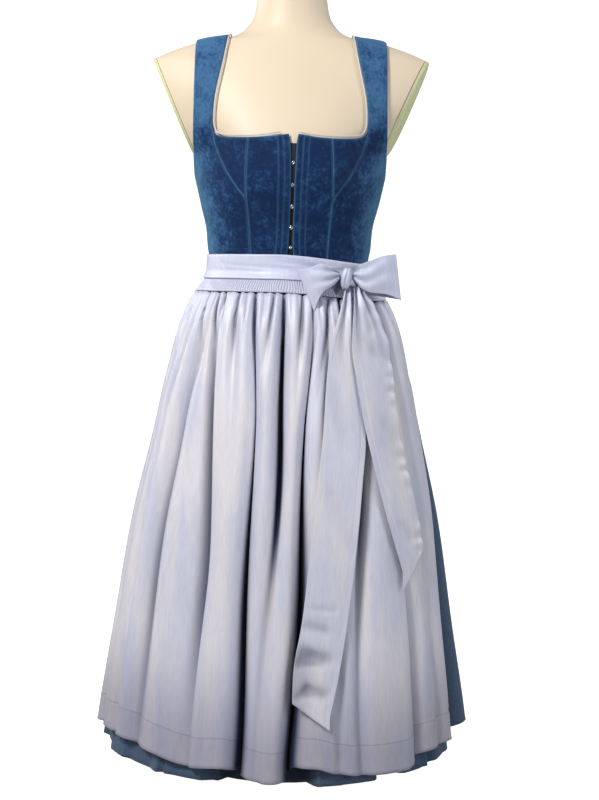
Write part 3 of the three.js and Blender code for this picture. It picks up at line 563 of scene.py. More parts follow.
# ---- Camera, light and floor ----
cameraPlace = {"x": 17.7, "y": -2050, "z": 687, "down": 5.1, "roll": 0.8, "lens": 64.97}
lights = {
    "key": {"place": (-1.2, -1.7, 2.1), "size": 0.7, "power": 58, "colour": (1.0, 0.985, 0.955)},
    "fill": {"place": (2.0, -1.7, 1.5), "size": 1.4, "power": 19, "colour": (0.93, 0.96, 1.0)},
    "leftEdge": {"place": (-1.7, 0.7, 1.3), "size": 1.2, "power": 16, "colour": (1.0, 1.0, 1.0)},
    "rightEdge": {"place": (1.8, 0.7, 1.3), "size": 1.2, "power": 12, "colour": (0.95, 0.98, 1.0)},
}
studio = {"world": 0.27, "aim": (0, 0, 0.75), "glow": 1.0, "floorFront": -3.8, "floorBack": 3.2,
          "wallHeight": 4.0, "curve": 1.0, "halfWidth": 4.5}


def addCamera():
    camera = bpy.data.objects.new("camera", bpy.data.cameras.new("camera"))
    bpy.context.scene.collection.objects.link(camera)
    camera.data.lens = cameraPlace["lens"]
    camera.data.sensor_width = 36
    place = Vector([cameraPlace[k] * mm for k in "xyz"])
    tilt = Matrix.Rotation(math.radians(90 - cameraPlace["down"]), 4, "X")
    roll = Matrix.Rotation(math.radians(cameraPlace["roll"]), 4, "Z")
    camera.matrix_world = Matrix.Translation(place) @ tilt @ roll
    bpy.context.scene.camera = camera


def addLights():
    for name, row in lights.items():
        lamp = bpy.data.lights.new(name, "AREA")
        lamp.shape = "DISK"
        lamp.size = row["size"]
        lamp.energy = row["power"]
        lamp.color = row["colour"]
        obj = bpy.data.objects.new(name, lamp)
        obj.location = row["place"]
        aim = Vector(studio["aim"]) - obj.location
        obj.rotation_euler = aim.to_track_quat("-Z", "Y").to_euler()
        bpy.context.scene.collection.objects.link(obj)
    world = bpy.data.worlds.new("studio")
    world.use_nodes = True
    backdrop = world.node_tree.nodes["Background"]
    backdrop.inputs["Color"].default_value = (1, 1, 1, 1)
    backdrop.inputs["Strength"].default_value = studio["world"]
    bpy.context.scene.world = world
    bpy.context.scene.view_settings.view_transform = "Standard"


# a floor that curves up into a wall behind
def addFloor():
    length = studio["floorBack"] - studio["floorFront"]
    arc = studio["curve"] * math.pi / 2
    total = length + arc + studio["wallHeight"]

    def pointAt(u, v):
        run = v * total
        turn = np.clip((run - length) / studio["curve"], 0, math.pi / 2)
        y = studio["floorFront"] + np.minimum(run, length) + studio["curve"] * np.sin(turn)
        z = studio["curve"] * (1 - np.cos(turn)) + np.maximum(0, run - length - arc)
        x = (u - 0.5) * 2 * studio["halfWidth"]
        return np.stack([x, y, z], -1) / mm

    floor = clothGrid("floor", 8, 120, pointAt)
    floor.data.materials.append(floorPaint)
    floor.data.polygons.foreach_set("use_smooth", [True] * len(floor.data.polygons))
    tree = floorPaint.node_tree
    shader = tree.nodes["Principled BSDF"]
    shader.inputs["Emission Color"].default_value = (1, 1, 1, 1)
    seen = tree.nodes.new("ShaderNodeLightPath").outputs["Is Camera Ray"]
    tree.links.new(mathNode(tree, "MULTIPLY", seen, studio["glow"]), shader.inputs["Emission Strength"])


addCamera()
addLights()
addFloor()
print("studio made")

# ---- The dress form and its stand ----
formShape = {"low": 470, "neck": 1075, "columns": 150, "rows": 190}
plateShape = {"x": 148, "z": 876, "lean": 0.405, "thick": 4, "gap": 0.6, "rim": 0.9,
              "turnLeft": 0.12, "turnRight": 0.0}


def formSkin(name, inset):
    def pointAt(u, v):
        phi = 2 * np.pi * u
        z = mix(formShape["low"], formShape["neck"], v)
        points = movedOut(bodyPoint, phi, z, np.full_like(z, -inset))
        points[:, 2] = z
        return points

    obj = clothGrid(name, formShape["columns"], formShape["rows"], pointAt, ring=True)
    bm = bmesh.new()
    bm.from_mesh(obj.data)
    closeHoles(bm)
    return obj, bm


def cutFlat(bm, point, outward):
    parts = [*bm.verts, *bm.edges, *bm.faces]
    cut = bmesh.ops.bisect_plane(bm, geom=parts, dist=1e-7, plane_co=point, plane_no=outward,
                                 clear_outer=True)
    loop = [e for e in cut["geom_cut"] if isinstance(e, bmesh.types.BMEdge)]
    return bmesh.ops.holes_fill(bm, edges=loop)["faces"]


def armholePlane(side, out):
    lean = plateShape["lean"]
    turn = plateShape["turnLeft" if side > 0 else "turnRight"]
    outward = Vector((side * math.cos(lean) * math.cos(turn), -math.cos(lean) * math.sin(turn),
                      -math.sin(lean)))
    place = Vector((side * plateShape["x"], 0, plateShape["z"])) * mm
    return place + outward * out * mm, outward


def addForm():
    torso, bm = formSkin("formTorso", formInset)
    for side in (1, -1):
        point, outward = armholePlane(side, -plateShape["thick"] - plateShape["gap"])
        cutFlat(bm, point, outward)
    bm.to_mesh(torso.data)
    bm.free()
    finishMesh(torso, formCover, ["form_torso"])
    torso.data.set_sharp_from_angle(angle=math.radians(50))
    for side, word in ((1, "left"), (-1, "right")):
        disc, bm = formSkin(f"formPlate_{word}", formInset + 1)
        point, outward = armholePlane(side, 0)
        faces = cutFlat(bm, point, outward)
        rim = {e for f in faces for e in f.edges}
        point, outward = armholePlane(side, -plateShape["thick"])
        cutFlat(bm, point, -outward)
        bmesh.ops.bevel(bm, geom=[e for e in rim if e.is_valid], offset=plateShape["rim"] * mm,
                        segments=3, affect="EDGES", profile=0.5, material=-1)
        bmesh.ops.recalc_face_normals(bm, faces=bm.faces)
        bm.to_mesh(disc.data)
        bm.free()
        finishMesh(disc, plateCover, [f"form_shoulder_plate_{word}"])
        disc.data.set_sharp_from_angle(angle=math.radians(35))


def addStand():
    for name, material in (("form_neck_cap", plateCover), ("stand_pole", standMetal),
                           ("stand_base", standMetal)):
        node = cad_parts[name]
        node.data.materials.clear()
        node.data.materials.append(material)


addForm()
addStand()
print("dress form made")

# ---- The bodice ----
closureLine = {
    "z": [688, 712, 720, 746, 802, 830, 856, 869],
    "x": [1.5, 2.3, 2.6, 3.2, 4.7, 5.1, 5.1, 5.1],
    "gap": [8.4, 7.0, 5.0, 4.0, 4.1, 5.6, 8.0, 13.0],
}
centreSeam = {"z": [688, 714, 755, 784, 807, 868], "x": [50, 51, 54, 57, 57, 55]}
frontInner = {
    "z": [688, 714, 755, 784, 797, 815, 838, 866, 890, 920, 965, 1010],
    "x": [50, 51, 54, 57, 66, 79, 92, 101, 103.5, 101.5, 93, 85],
}
armholeFront = {"z": [818, 850, 920, 1000], "x": [130, 131, 130, 130]}
backInner = {
    "z": [688, 760, 840, 932, 937, 946, 965, 1010],
    "x": [36, 43, 52, 60, 74, 82, 86, 85],
}
armholeBack = {"z": [818, 850, 900, 1000], "x": [130, 134, 137, 131]}
necklineFront = {
    "x": [12, 34, 57, 80, 93, 100, 103],
    "z": [868.5, 865, 864, 865.5, 868.5, 875, 888],
}
armholeFoot = 818
seamAngle = 0.0009
# seamReach is how far the painted highlight reaches in from an edge
velvetCloth = {"thick": 1.6, "roll": 0.9, "rollReach": 1.3, "seamReach": 1.5, "softness": 0.7,
               "softFrom": 12}
# boning channels beside the front opening: distance from its edge; seam is how strong the painted highlight
# along them is
casings = {"reach": [9.0, 16.5], "depth": 0.7, "width": 0.9, "raised": 0.35, "seam": 0.55}
# the strap's edges run level over the shoulder above this height, and meet on its ridge
strapRun = {"level": 860, "levelOver": 60, "bend": 0.62, "turn": 900, "ridgeGap": 0.15}
# where a painted sheen lightens the pile and where a painted teal sheen tints the sides: height or degrees,
# then over how much
paintedSheenLook = {"strap": (868, 30), "strapMost": 0.75, "side": (36, 34), "sideMost": 0.65,
           "tint": (52, 34), "tintOff": (860, 60), "tintLeft": 0.6}
# soft pulls: start, end, depth, width, bend, on the front seen from ahead
bodicePulls = [
    ((-96, 842), (-62, 812), 1.2, 7, 2), ((-90, 800), (-64, 778), 1.0, 6, -2),
    ((-70, 730), (-100, 716), 1.3, 6, 2), ((-66, 712), (-104, 704), 1.0, 5, 1),
    ((-44, 722), (-16, 716), 0.9, 5, -1), ((-40, 840), (-18, 828), 0.8, 6, 2),
    ((94, 836), (64, 806), 1.1, 7, -2), ((84, 776), (60, 756), 1.0, 6, 2),
    ((62, 728), (98, 712), 1.5, 6, -2), ((58, 745), (84, 735), 1.2, 5, 1),
    ((22, 720), (48, 728), 1.0, 5, 1), ((24, 836), (44, 846), 0.8, 6, -1),
    ((-108, 764), (-84, 752), 1.0, 7, 1), ((104, 760), (82, 744), 1.1, 7, -1),
]


def ridgeHeight(x):
    heights = np.linspace(965, 1070, 400)
    halves = valueAt(bodyRings, "half", heights)
    return np.interp(-x, -halves, heights)


def necklineTop(x):
    return valueAt(necklineFront, "z", np.minimum(np.abs(x), 100), "x") - 0.8


def strapHeight(innerX, outerX):
    def heightAt(u, v):
        bend, turn = strapRun["bend"], strapRun["turn"]
        top = ridgeHeight(mix(innerX, outerX, u))
        above = turn + (top - turn) * np.sin((v - bend) / (1 - bend) * np.pi / 2)
        return np.where(v <= bend, mix(waist["bodiceEnd"], turn, v / bend), above)

    return heightAt


def sideSeam(table):
    return lambda z: np.where(z < armholeFoot, 1000, valueAt(table, "x", z))


# one velvet piece between two edges. side is 1 for the wearer's left, face 1 for the front
def bodicePiece(name, columns, rows, side, face, heightAt, innerEdge, outerEdge, width,
                strap=False, channels=False):
    def bodyAngle(u, v):
        z = heightAt(u, v)
        inner = angleOf(innerEdge(z), z) + seamAngle
        outer = angleOf(outerEdge(z), z) - seamAngle
        phi = mix(inner, outer, u)
        if strap:
            level = angleOf(mix(innerEdge(z), outerEdge(z), u), z)
            level = np.clip(level, 0, np.pi / 2 - seamAngle)
            phi = mix(phi, level, smooth((z - strapRun["level"]) / strapRun["levelOver"]))
        return phi, inner, outer, z

    def edgeDistance(u, v):
        phi, inner, outer, z = bodyAngle(u, v)
        girth = valueAt(bodyRings, "half", z)
        across = np.minimum(u, 1 - u) * np.maximum(outer - inner, 0.02) * girth
        top = heightAt(u, np.ones_like(v))
        above = np.where(np.full_like(z, strap), 99, top - z)
        return np.minimum(across, above), u * (outer - inner) * girth

    def pointAt(u, v):
        phi, inner, outer, z = bodyAngle(u, v)
        near, fromInner = edgeDistance(u, v)
        turned = side * (phi if face > 0 else np.pi - phi)
        x = side * valueAt(bodyRings, "half", z) * np.sin(phi)
        out = bodiceOut - velvetCloth["roll"] * bell(near, velvetCloth["rollReach"])
        soft = velvetCloth["softness"] * smooth(near / velvetCloth["softFrom"])
        out += soft * wander(x + 300 * face, z, 21, 0.4)
        if face > 0:
            out -= creased(x, z, bodicePulls)
        if channels:
            for reach in casings["reach"]:
                out -= casings["depth"] * bell(fromInner - reach, casings["width"])
            between = (fromInner > casings["reach"][0]) & (fromInner < casings["reach"][1])
            out += np.where(between, casings["raised"], 0)
        points = movedOut(bodyPoint, turned, z, out)
        if strap:
            points[:, 1] = -face * np.maximum(-face * points[:, 1], strapRun["ridgeGap"])
        return points

    # painted highlight: the pile is lightened along the piece's edges and its casing lines, where light
    # catches it
    def seamSheenMask(u, v):
        near, fromInner = edgeDistance(u, v)
        mask = bell(near, velvetCloth["seamReach"])
        if channels:
            for reach in casings["reach"]:
                line = bell(fromInner - reach, casings["width"])
                mask = np.maximum(mask, casings["seam"] * line)
        return mask

    # painted sheen: the pile is lightened on the straps and on the sides, where the lamps catch it
    def paintedSheenMask(u, v):
        phi, _, _, z = bodyAngle(u, v)
        onStrap = eased(z, paintedSheenLook["strap"])
        sideways = eased(np.degrees(phi), paintedSheenLook["side"])
        return np.clip(paintedSheenLook["strapMost"] * onStrap + paintedSheenLook["sideMost"] * sideways, 0, 1)

    # painted teal sheen on the sides, weaker up on the straps
    def sideSheenMask(u, v):
        phi, _, _, z = bodyAngle(u, v)
        above = eased(z, paintedSheenLook["tintOff"])
        return eased(np.degrees(phi), paintedSheenLook["tint"]) * (1 - paintedSheenLook["tintLeft"] * above)

    return clothGrid(name, columns, rows, pointAt, flip=side * face < 0, weave=(width, 200),
                     masks={"seam": seamSheenMask, "paintedSheen": paintedSheenMask, "side": sideSheenMask})


def keepVelvet(piece, node):
    finishMesh(piece, velvet, [node], velvetCloth["thick"])


# keeps the foot of the cup's triangle from closing to a point
def cupEase(z):
    return mix(0.8, 0.1, smooth((z - 800) / 40))


# the neckline's stretch of each front piece, from the centre outwards
frontTop = {"from": 12, "to": 55}
cupTop = {"from": 56, "to": 100, "foot": 786}
strapSpan = {"inner": 85, "front": 130, "back": 131}
backPanel = {"top": 927, "rise": 4}


def addBodice():
    for side, word in ((1, "left"), (-1, "right")):
        def openingEdge(z, side=side):
            return side * valueAt(closureLine, "x", z) + valueAt(closureLine, "gap", z) / 2

        piece = bodicePiece(
            f"bodiceFront_{word}", 36, 90, side, 1,
            lambda u, v: mix(waist["bodiceEnd"], necklineTop(mix(frontTop["from"], frontTop["to"], u)), v),
            openingEdge,
            lambda z: np.minimum(valueAt(centreSeam, "x", z), valueAt(frontInner, "x", z)),
            50, channels=True)
        keepVelvet(piece, f"bodice_front_{word}")
        piece = bodicePiece(
            f"bodiceCup_{word}", 30, 40, side, 1,
            lambda u, v: mix(cupTop["foot"], necklineTop(mix(cupTop["from"], cupTop["to"], u)), v),
            lambda z: valueAt(centreSeam, "x", z),
            lambda z: valueAt(frontInner, "x", z) + cupEase(z),
            50)
        keepVelvet(piece, f"bodice_cup_{word}")
        piece = bodicePiece(
            f"bodiceSideFront_{word}", 46, 130, side, 1,
            strapHeight(strapSpan["inner"], strapSpan["front"]),
            lambda z: valueAt(frontInner, "x", z) + cupEase(z) * (z > cupTop["foot"] - 2),
            sideSeam(armholeFront), 110, strap=True)
        keepVelvet(piece, f"bodice_side_front_{word}")
        piece = bodicePiece(
            f"bodiceSideBack_{word}", 46, 130, side, -1,
            strapHeight(strapSpan["inner"], strapSpan["back"]),
            lambda z: valueAt(backInner, "x", z), sideSeam(armholeBack), 110, strap=True)
        keepVelvet(piece, f"bodice_side_back_{word}")


def addBodiceBack():
    def place(u, v):
        s = 2 * u - 1
        z = mix(waist["bodiceEnd"], backPanel["top"] + backPanel["rise"] * s * s, v)
        reach = angleOf(valueAt(backInner, "x", z), z) - seamAngle
        near = np.minimum((1 - np.abs(s)) * reach * valueAt(bodyRings, "half", z),
                          (1 - v) * (backPanel["top"] - waist["bodiceEnd"]))
        return s, z, reach, near

    def pointAt(u, v):
        s, z, reach, near = place(u, v)
        out = bodiceOut - velvetCloth["roll"] * bell(near, velvetCloth["rollReach"])
        soft = velvetCloth["softness"] * smooth(near / velvetCloth["softFrom"])
        out += soft * wander(s * 50, z, 21, 0.9)
        return movedOut(bodyPoint, np.pi - s * reach, z, out)

    # painted highlight along the back's edges
    def seamSheenMask(u, v):
        return bell(place(u, v)[3], velvetCloth["seamReach"])

    # the back takes an even painted sheen and no side tint
    piece = clothGrid("bodiceBack", 50, 90, pointAt, weave=(100, 240),
                      masks={"seam": seamSheenMask, "paintedSheen": lambda u, v: 0.15 + 0 * u, "side": noMask})
    keepVelvet(piece, "bodice_back")


underlap = {"reach": 12, "top": 856, "out": 0.6}


def addUnderlap():
    def pointAt(u, v):
        z = mix(waist["bodiceEnd"], underlap["top"], v)
        x = valueAt(closureLine, "x", z) + mix(-underlap["reach"], underlap["reach"], u)
        return movedOut(bodyPoint, angleOf(x, z), z, underlap["out"] + 0.15 * wander(x, z, 9))

    lap = clothGrid("closureUnderlap", 16, 90, pointAt, weave=(24, 168))
    finishMesh(lap, blackCloth, ["closure_underlap"], 0.8)


hooks = {"heights": [830, 802, 774, 746, 719], "half": 1.7, "wire": 0.55, "out": 3.0}


# a bent wire hook caught on its eye, across the opening
def addHooks():
    for i, z in enumerate(hooks["heights"]):
        x = float(valueAt(closureLine, "x", z))
        centre = movedOut(bodyPoint, angleOf(np.array([x]), np.array([z])), np.array([z]),
                          np.array([hooks["out"]]))[0]
        turns = np.linspace(-0.3, 2 * np.pi + 0.3, 26)
        reach = hooks["half"]
        line = [centre + (reach * 0.95 * math.cos(turn), 0.35 * math.sin(turn / 2),
                          reach * 1.15 * math.sin(turn)) for turn in turns]
        bar = [centre + (reach * s, -0.25, 0.25 * math.cos(2 * s)) for s in np.linspace(-1.1, 1.1, 7)]
        ringWire = tube(f"hook_{i + 1}", line, hooks["wire"], 8)
        barWire = tube(f"hookBar_{i + 1}", bar, hooks["wire"] * 1.1, 8)
        finishMesh(ringWire, hookMetal, [f"closure_hook_{i + 1}"])
        finishMesh(barWire, hookMetal, [])


strapInner = {"z": [876, 890, 920, 965, 1010], "x": [102, 103.5, 101.5, 93, 85]}
backStrapInner = {"z": [932, 937, 946, 965, 1010], "x": [60, 74, 82, 86, 85]}
piping = {"radius": 1.0, "beside": 1.9, "out": 3.4, "overTop": 985}
pipingFront = [(12, 868.5), (34, 865), (57, 864), (80, 865.5), (93, 868.5), (100, 875), (103, 888),
               (101.5, 920), (93, 965)]
pipingBack = [(40, 930), (60, 933), (74, 938.5), (82, 948), (86, 966)]


def curveThrough(points, steps):
    points = np.asarray(points, float)
    gaps = np.linalg.norm(np.diff(points, axis=0), axis=1) ** 0.5
    at = np.concatenate([[0], np.cumsum(gaps)])
    out = []
    for t in np.linspace(0, at[-1], steps):
        i = int(np.clip(np.searchsorted(at, t, side="right") - 1, 0, len(points) - 2))
        before, after = max(i - 1, 0), min(i + 2, len(points) - 1)
        span = at[i + 1] - at[i]
        w = (t - at[i]) / span
        startPull = (points[i + 1] - points[before]) / (at[i + 1] - at[before]) * span
        endPull = (points[after] - points[i]) / (at[after] - at[i]) * span
        out.append((2 * w**3 - 3 * w**2 + 1) * points[i] + (w**3 - 2 * w**2 + w) * startPull
                   + (3 * w**2 - 2 * w**3) * points[i + 1] + (w**3 - w**2) * endPull)
    return np.array(out)


def pipingLine(route, strapEdge, side, face):
    top = float(ridgeHeight(85))
    rows = list(route)
    for degrees in (20, 40, 58, 74):
        z = piping["overTop"] + (top - piping["overTop"]) * math.sin(math.radians(degrees))
        rows.append((float(valueAt(strapEdge, "x", z)), z))
    x, z = np.array(rows).T
    phi = angleOf(x, z)
    phi = np.append(side * (phi if face > 0 else np.pi - phi), side * np.pi / 2)
    z = np.append(z, top)
    onCloth = movedOut(bodyPoint, phi, z, np.full_like(z, piping["out"]))
    ahead = np.gradient(onCloth, axis=0)
    beside = np.cross(ahead, onCloth - bodyPoint(phi, z))
    beside /= np.linalg.norm(beside, axis=1, keepdims=True)
    line = onCloth - side * face * piping["beside"] * beside
    line[-1, 1] = -face * 0.25
    return line


def addPiping():
    for side, word in ((1, "left"), (-1, "right")):
        line = pipingLine(pipingFront, strapInner, side, 1)
        cord = tube(f"pipingFront_{word}", curveThrough(line, 150), piping["radius"], 12)
        finishMesh(cord, pipingSatin, [f"piping_neck_front_{word}"])
    right = pipingLine(pipingBack, backStrapInner, -1, -1)[::-1]
    left = pipingLine(pipingBack, backStrapInner, 1, -1)
    middle = movedOut(bodyPoint, np.array([np.pi]), np.array([928 + piping["beside"]]),
                      np.array([piping["out"]]))
    cord = tube("pipingBack", curveThrough(np.vstack([right, middle, left]), 220),
                piping["radius"], 12)
    finishMesh(cord, pipingSatin, ["piping_neck_back"])


addBodice()
addBodiceBack()
addUnderlap()
addHooks()
addPiping()
print("bodice made")

# ---- Folds of the skirt and the apron ----
# Each fold: its angle and depth at four heights, its reach to the left and right in
# millimetres (a short reach makes a sharp edge), and how far its lips lean over it.
foldHeights = [60, 270, 480, 620]
apronFolds = [
    {"angle": [-94, -95, -96, -96], "depth": [20, 18, 14, 8], "left": 15, "right": 15, "lip": 0},
    {"angle": [-76, -79, -80, -78], "depth": [16, 15, 13, 7], "left": 14, "right": 14, "lip": 0},
    {"angle": [-60, -64, -66, -58.5], "depth": [7, 7, 8, 6], "left": 8, "right": 5, "lip": 0},
    {"angle": [-50, -52, -53, -48.5], "depth": [13, 17, 15, 9], "left": 13, "right": 17, "lip": 0},
    {"angle": [-28, -27.5, -33, -39], "depth": [10, 19, 21, 16], "left": 24, "right": 6, "lip": 2},
    {"angle": [-20, -20, -23, -27], "depth": [0, 0, 3, 8], "left": 8, "right": 8, "lip": 0},
    {"angle": [-13, -12.8, -13.5, -17.5], "depth": [48, 40, 22, 9], "left": 7, "right": 7, "lip": 4},
    {"angle": [-7, -4.5, -2, -2], "depth": [8, 15, 31, 23], "left": 9, "right": 9, "lip": 2},
    {"angle": [2.6, 5.7, 8.2, 13.9], "depth": [50, 44, 24, 9], "left": 7, "right": 9, "lip": 4},
    {"angle": [17, 17, 18, 23], "depth": [8, 10, 14, 9], "left": 8, "right": 8, "lip": 0},
    {"angle": [24, 26, 33, 33], "depth": [10, 16, 26, 12], "left": 9, "right": 10, "lip": 1},
    {"angle": [44, 46, 49, 46], "depth": [14, 12, 8, 6], "left": 6, "right": 14, "lip": 0},
    {"angle": [54, 57, 60, 60], "depth": [8, 8, 9, 8], "left": 8, "right": 10, "lip": 0},
]
skirtFolds = [
    {"angle": [-38, -38, -38, -38], "depth": [16, 4, 0, 0], "left": 9, "right": 9, "lip": 0},
    {"angle": [-21, -21, -21, -21], "depth": [24, 6, 0, 0], "left": 20, "right": 20, "lip": 0},
    {"angle": [-5, -5, -5, -5], "depth": [62, 14, 0, 0], "left": 26, "right": 26, "lip": 0},
    {"angle": [14, 14, 14, 14], "depth": [10, 3, 0, 0], "left": 10, "right": 10, "lip": 0},
    {"angle": [35, 35, 35, 35], "depth": [50, 10, 0, 0], "left": 22, "right": 22, "lip": 0},
    {"angle": [53, 53, 53, 53], "depth": [20, 8, 0, 0], "left": 12, "right": 12, "lip": 0},
    {"angle": [71, 74, 76, 78], "depth": [50, 30, 15, 5], "left": 28, "right": 19, "lip": 0},
    {"angle": [90, 91, 92, 92], "depth": [27, 22, 14, 6], "left": 12, "right": 15, "lip": 1},
    {"angle": [105, 105, 105, 106], "depth": [30, 20, 13, 5], "left": 13, "right": 11, "lip": 1},
    {"angle": [121, 121, 120, 119], "depth": [40, 30, 16, 6], "left": 11, "right": 12, "lip": 3},
    {"angle": [136, 135, 134, 133], "depth": [24, 20, 13, 5], "left": 15, "right": 12, "lip": 0},
    {"angle": [153, 152, 151, 148], "depth": [36, 26, 16, 6], "left": 12, "right": 13, "lip": 3},
    {"angle": [168, 168, 167, 165], "depth": [28, 24, 14, 5], "left": 13, "right": 13, "lip": 1},
    {"angle": [184, 184, 183, 182], "depth": [42, 30, 17, 6], "left": 11, "right": 12, "lip": 3},
    {"angle": [199, 200, 200, 198], "depth": [26, 20, 13, 5], "left": 14, "right": 15, "lip": 1},
    {"angle": [216, 215, 214, 214], "depth": [36, 27, 16, 6], "left": 12, "right": 12, "lip": 2},
    {"angle": [230, 231, 231, 229], "depth": [28, 21, 14, 5], "left": 12, "right": 14, "lip": 0},
    {"angle": [247, 247, 246, 244], "depth": [38, 26, 15, 5], "left": 12, "right": 11, "lip": 3},
    {"angle": [262, 262, 261, 260], "depth": [24, 18, 12, 4], "left": 14, "right": 12, "lip": 0},
    {"angle": [279, 279, 279, 279], "depth": [10, 3, 0, 0], "left": 12, "right": 12, "lip": 0},
    {"angle": [302, 302, 302, 302], "depth": [10, 0, 0, 0], "left": 12, "right": 10, "lip": 0},
]
apronEdges = {"left": [-104, -104, -104, -104], "right": [60, 64.5, 77, 88]}
# how folds are rounded, waver and tighten, how their lips sit, and where they open under the waist
foldShape = {"round": 0.24, "roundReach": 2.3, "sharpness": 1.8, "wobble": 0.45, "wobbleSize": 61,
             "tight": 0.6, "looseFrom": 620, "looseOver": 400, "lipReach": 0.45, "lipFullAt": 20,
             "openFrom": 668, "openOver": 90}


def foldAt(values, z):
    return valueAt({"z": foldHeights, "value": values}, "value", z)


def wrapped(degrees):
    return (degrees + 540) % 360 - 180


# depth of the folds, and the sideways pull of their lips in millimetres
def foldedBy(folds, degrees, z):
    girth = valueAt(skirtRings, "half", z)
    tight = mix(foldShape["tight"], 1, smooth((foldShape["looseFrom"] - z) / foldShape["looseOver"]))
    depth = np.zeros_like(degrees)
    pull = np.zeros_like(degrees)
    for i, fold in enumerate(folds):
        wobble = foldShape["wobble"] * np.sin(z / foldShape["wobbleSize"] + 2.1 * i)
        line = foldAt(fold["angle"], z) + wobble
        along = np.radians(wrapped(degrees - line)) * girth
        u = np.abs(along) / (np.where(along < 0, fold["left"], fold["right"]) * tight)
        amount = foldAt(fold["depth"], z)
        wide = bell(u, foldShape["roundReach"]) * foldShape["round"]
        sharp = (1 - foldShape["round"]) * np.exp(-(u ** foldShape["sharpness"]))
        depth += amount * (sharp + wide)
        if fold["lip"]:
            lip = fold["lip"] * bell(u - 1, foldShape["lipReach"])
            pull -= np.sign(along) * lip * smooth(amount / foldShape["lipFullAt"])
    return depth, pull


# how far the folds have opened below the gathered waist
def opened(z):
    return smooth((foldShape["openFrom"] - z) / foldShape["openOver"])


# what each fine gather is drawn from, in this order, and how the gathers start and fade
gatherDraws = {"fan": (-1.1, 1.1), "depth": (1.2, 3.6), "low": (500, 625), "reach": (1.7, 2.9)}
gatherSpacing = (0.65, 1.45)
gatherShape = {"full": 645, "top": 666, "start": 14, "fanFrom": 660, "fanOver": 60, "widenOver": 75}


# fine gathers under the waist: unevenly spaced, each fading out at its own height
def gatherRows(first, last, step, seed):
    random = np.random.default_rng(seed)
    rows = []
    angle = first
    while angle < last:
        drawn = {key: random.uniform(*span) for key, span in gatherDraws.items()}
        rows.append({"angle": angle, **drawn})
        angle += step * random.uniform(*gatherSpacing)
    return rows


def gatherDepth(rows, degrees, z):
    girth = valueAt(skirtRings, "half", z)
    total = np.zeros_like(degrees)
    for row in rows:
        fade = smooth((z - row["low"]) / (gatherShape["full"] - row["low"]))
        fade = fade * smooth((gatherShape["top"] - z) / gatherShape["start"])
        below = gatherShape["fanFrom"] - z
        angle = row["angle"] + row["fan"] * below / gatherShape["fanOver"]
        along = np.radians(wrapped(degrees - angle)) * girth
        reach = row["reach"] * (1 + below / gatherShape["widenOver"])
        total += row["depth"] * fade * np.exp(-np.abs(along / reach) ** 1.6)
    return total


# the larger gathers: angle just under the band, its drift lower down, depth and lowest height
largeGathers = [
    (-84, -2, 6, 560), (-69.5, 3.5, 6, 540), (-55, 3.4, 7, 500), (-46, 3.9, 7.5, 470), (-40, 4.6, 5, 560),
    (-30, 1.8, 7.5, 480), (-25, 2.5, 4.5, 560), (-19.4, 2.8, 9, 430), (-13.7, 0.8, 4, 570),
    (-7.8, -1.8, 5.5, 520), (-2.4, 0.9, 8, 470), (8.8, -1.9, 8, 470), (15.3, -3, 5.5, 520),
    (24.5, -4.6, 7.5, 470), (31.2, -1.7, 8.5, 450), (38, -1.6, 4.5, 560), (45.3, 0.6, 5.5, 540),
    (60.7, -1, 6.5, 500), (70, 6, 6, 500),
]
apronGathers = gatherRows(first=-103, last=87, step=3.3, seed=11)
for angle, drift, depth, low in largeGathers:
    apronGathers.append({"angle": angle, "fan": drift, "depth": depth, "low": low, "reach": 2.3})
skirtGathers = gatherRows(first=80, last=262, step=5.6, seed=23)


def apronFolded(degrees, z):
    depth, pull = foldedBy(apronFolds, degrees, z)
    depth = depth * opened(z) + gatherDepth(apronGathers, degrees, z)
    return depth, pull * opened(z)


bowDrop = {"most": 11, "at": 75, "reach": 85, "over": 75}


# how far the bow pulls the sash and the shirring down at an angle
def bowPull(degrees):
    away = np.abs(wrapped(degrees - bowDrop["at"]))
    return bowDrop["most"] * smooth((bowDrop["reach"] - away) / bowDrop["over"])


# how much of the apron lies over the skirt at an angle: 1 under it, 0 clear of it
def apronCover(degrees, z):
    turn = (degrees + 560) % 360 - 200
    fromLeft = turn - foldAt(apronEdges["left"], z)
    toRight = foldAt(apronEdges["right"], z) - turn
    return smooth(1 + np.minimum(fromLeft, toRight) / 7)


# how far the skirt keeps under the apron and off the form, and how wide it looks for folds
underApron = {"least": 2.4, "most": 6, "top": 672, "over": 22, "look": 5, "gathers": 3,
              "gathersFrom": 500, "gathersOver": 100, "offForm": 2.2, "formFrom": 460}


def skirtFolded(degrees, z):
    cover = apronCover(degrees, z)
    own, pull = foldedBy(skirtFolds, degrees, z)
    own = own * opened(z) + gatherDepth(skirtGathers, degrees, z) * (1 - cover)
    gathers = underApron["gathers"] * smooth((z - underApron["gathersFrom"]) / underApron["gathersOver"])
    deepest = np.zeros_like(own)
    for turn in range(-underApron["look"], underApron["look"] + 1):
        main, _ = foldedBy(apronFolds, degrees + turn, z)
        deepest = np.maximum(deepest, main * opened(z) + gathers)
    least = underApron["least"]
    clearance = mix(least, underApron["most"], smooth((underApron["top"] - z) / underApron["over"]))
    under = np.maximum(own, deepest + clearance)
    depth = mix(np.maximum(own, least), under, cover)
    room = valueAt(skirtRings, "half", z) - valueAt(bodyRings, "half", z) + formInset
    depth = np.where(z > underApron["formFrom"], np.minimum(depth, room - underApron["offForm"]), depth)
    return depth, pull * opened(z) * (1 - cover)


def pleatedPoint(degrees, z, depth, pull, out=0.0):
    girth = valueAt(skirtRings, "half", z)
    phi = np.radians(degrees) + pull / girth
    return movedOut(skirtPoint, phi, z, out - depth)


crowding = 0.105


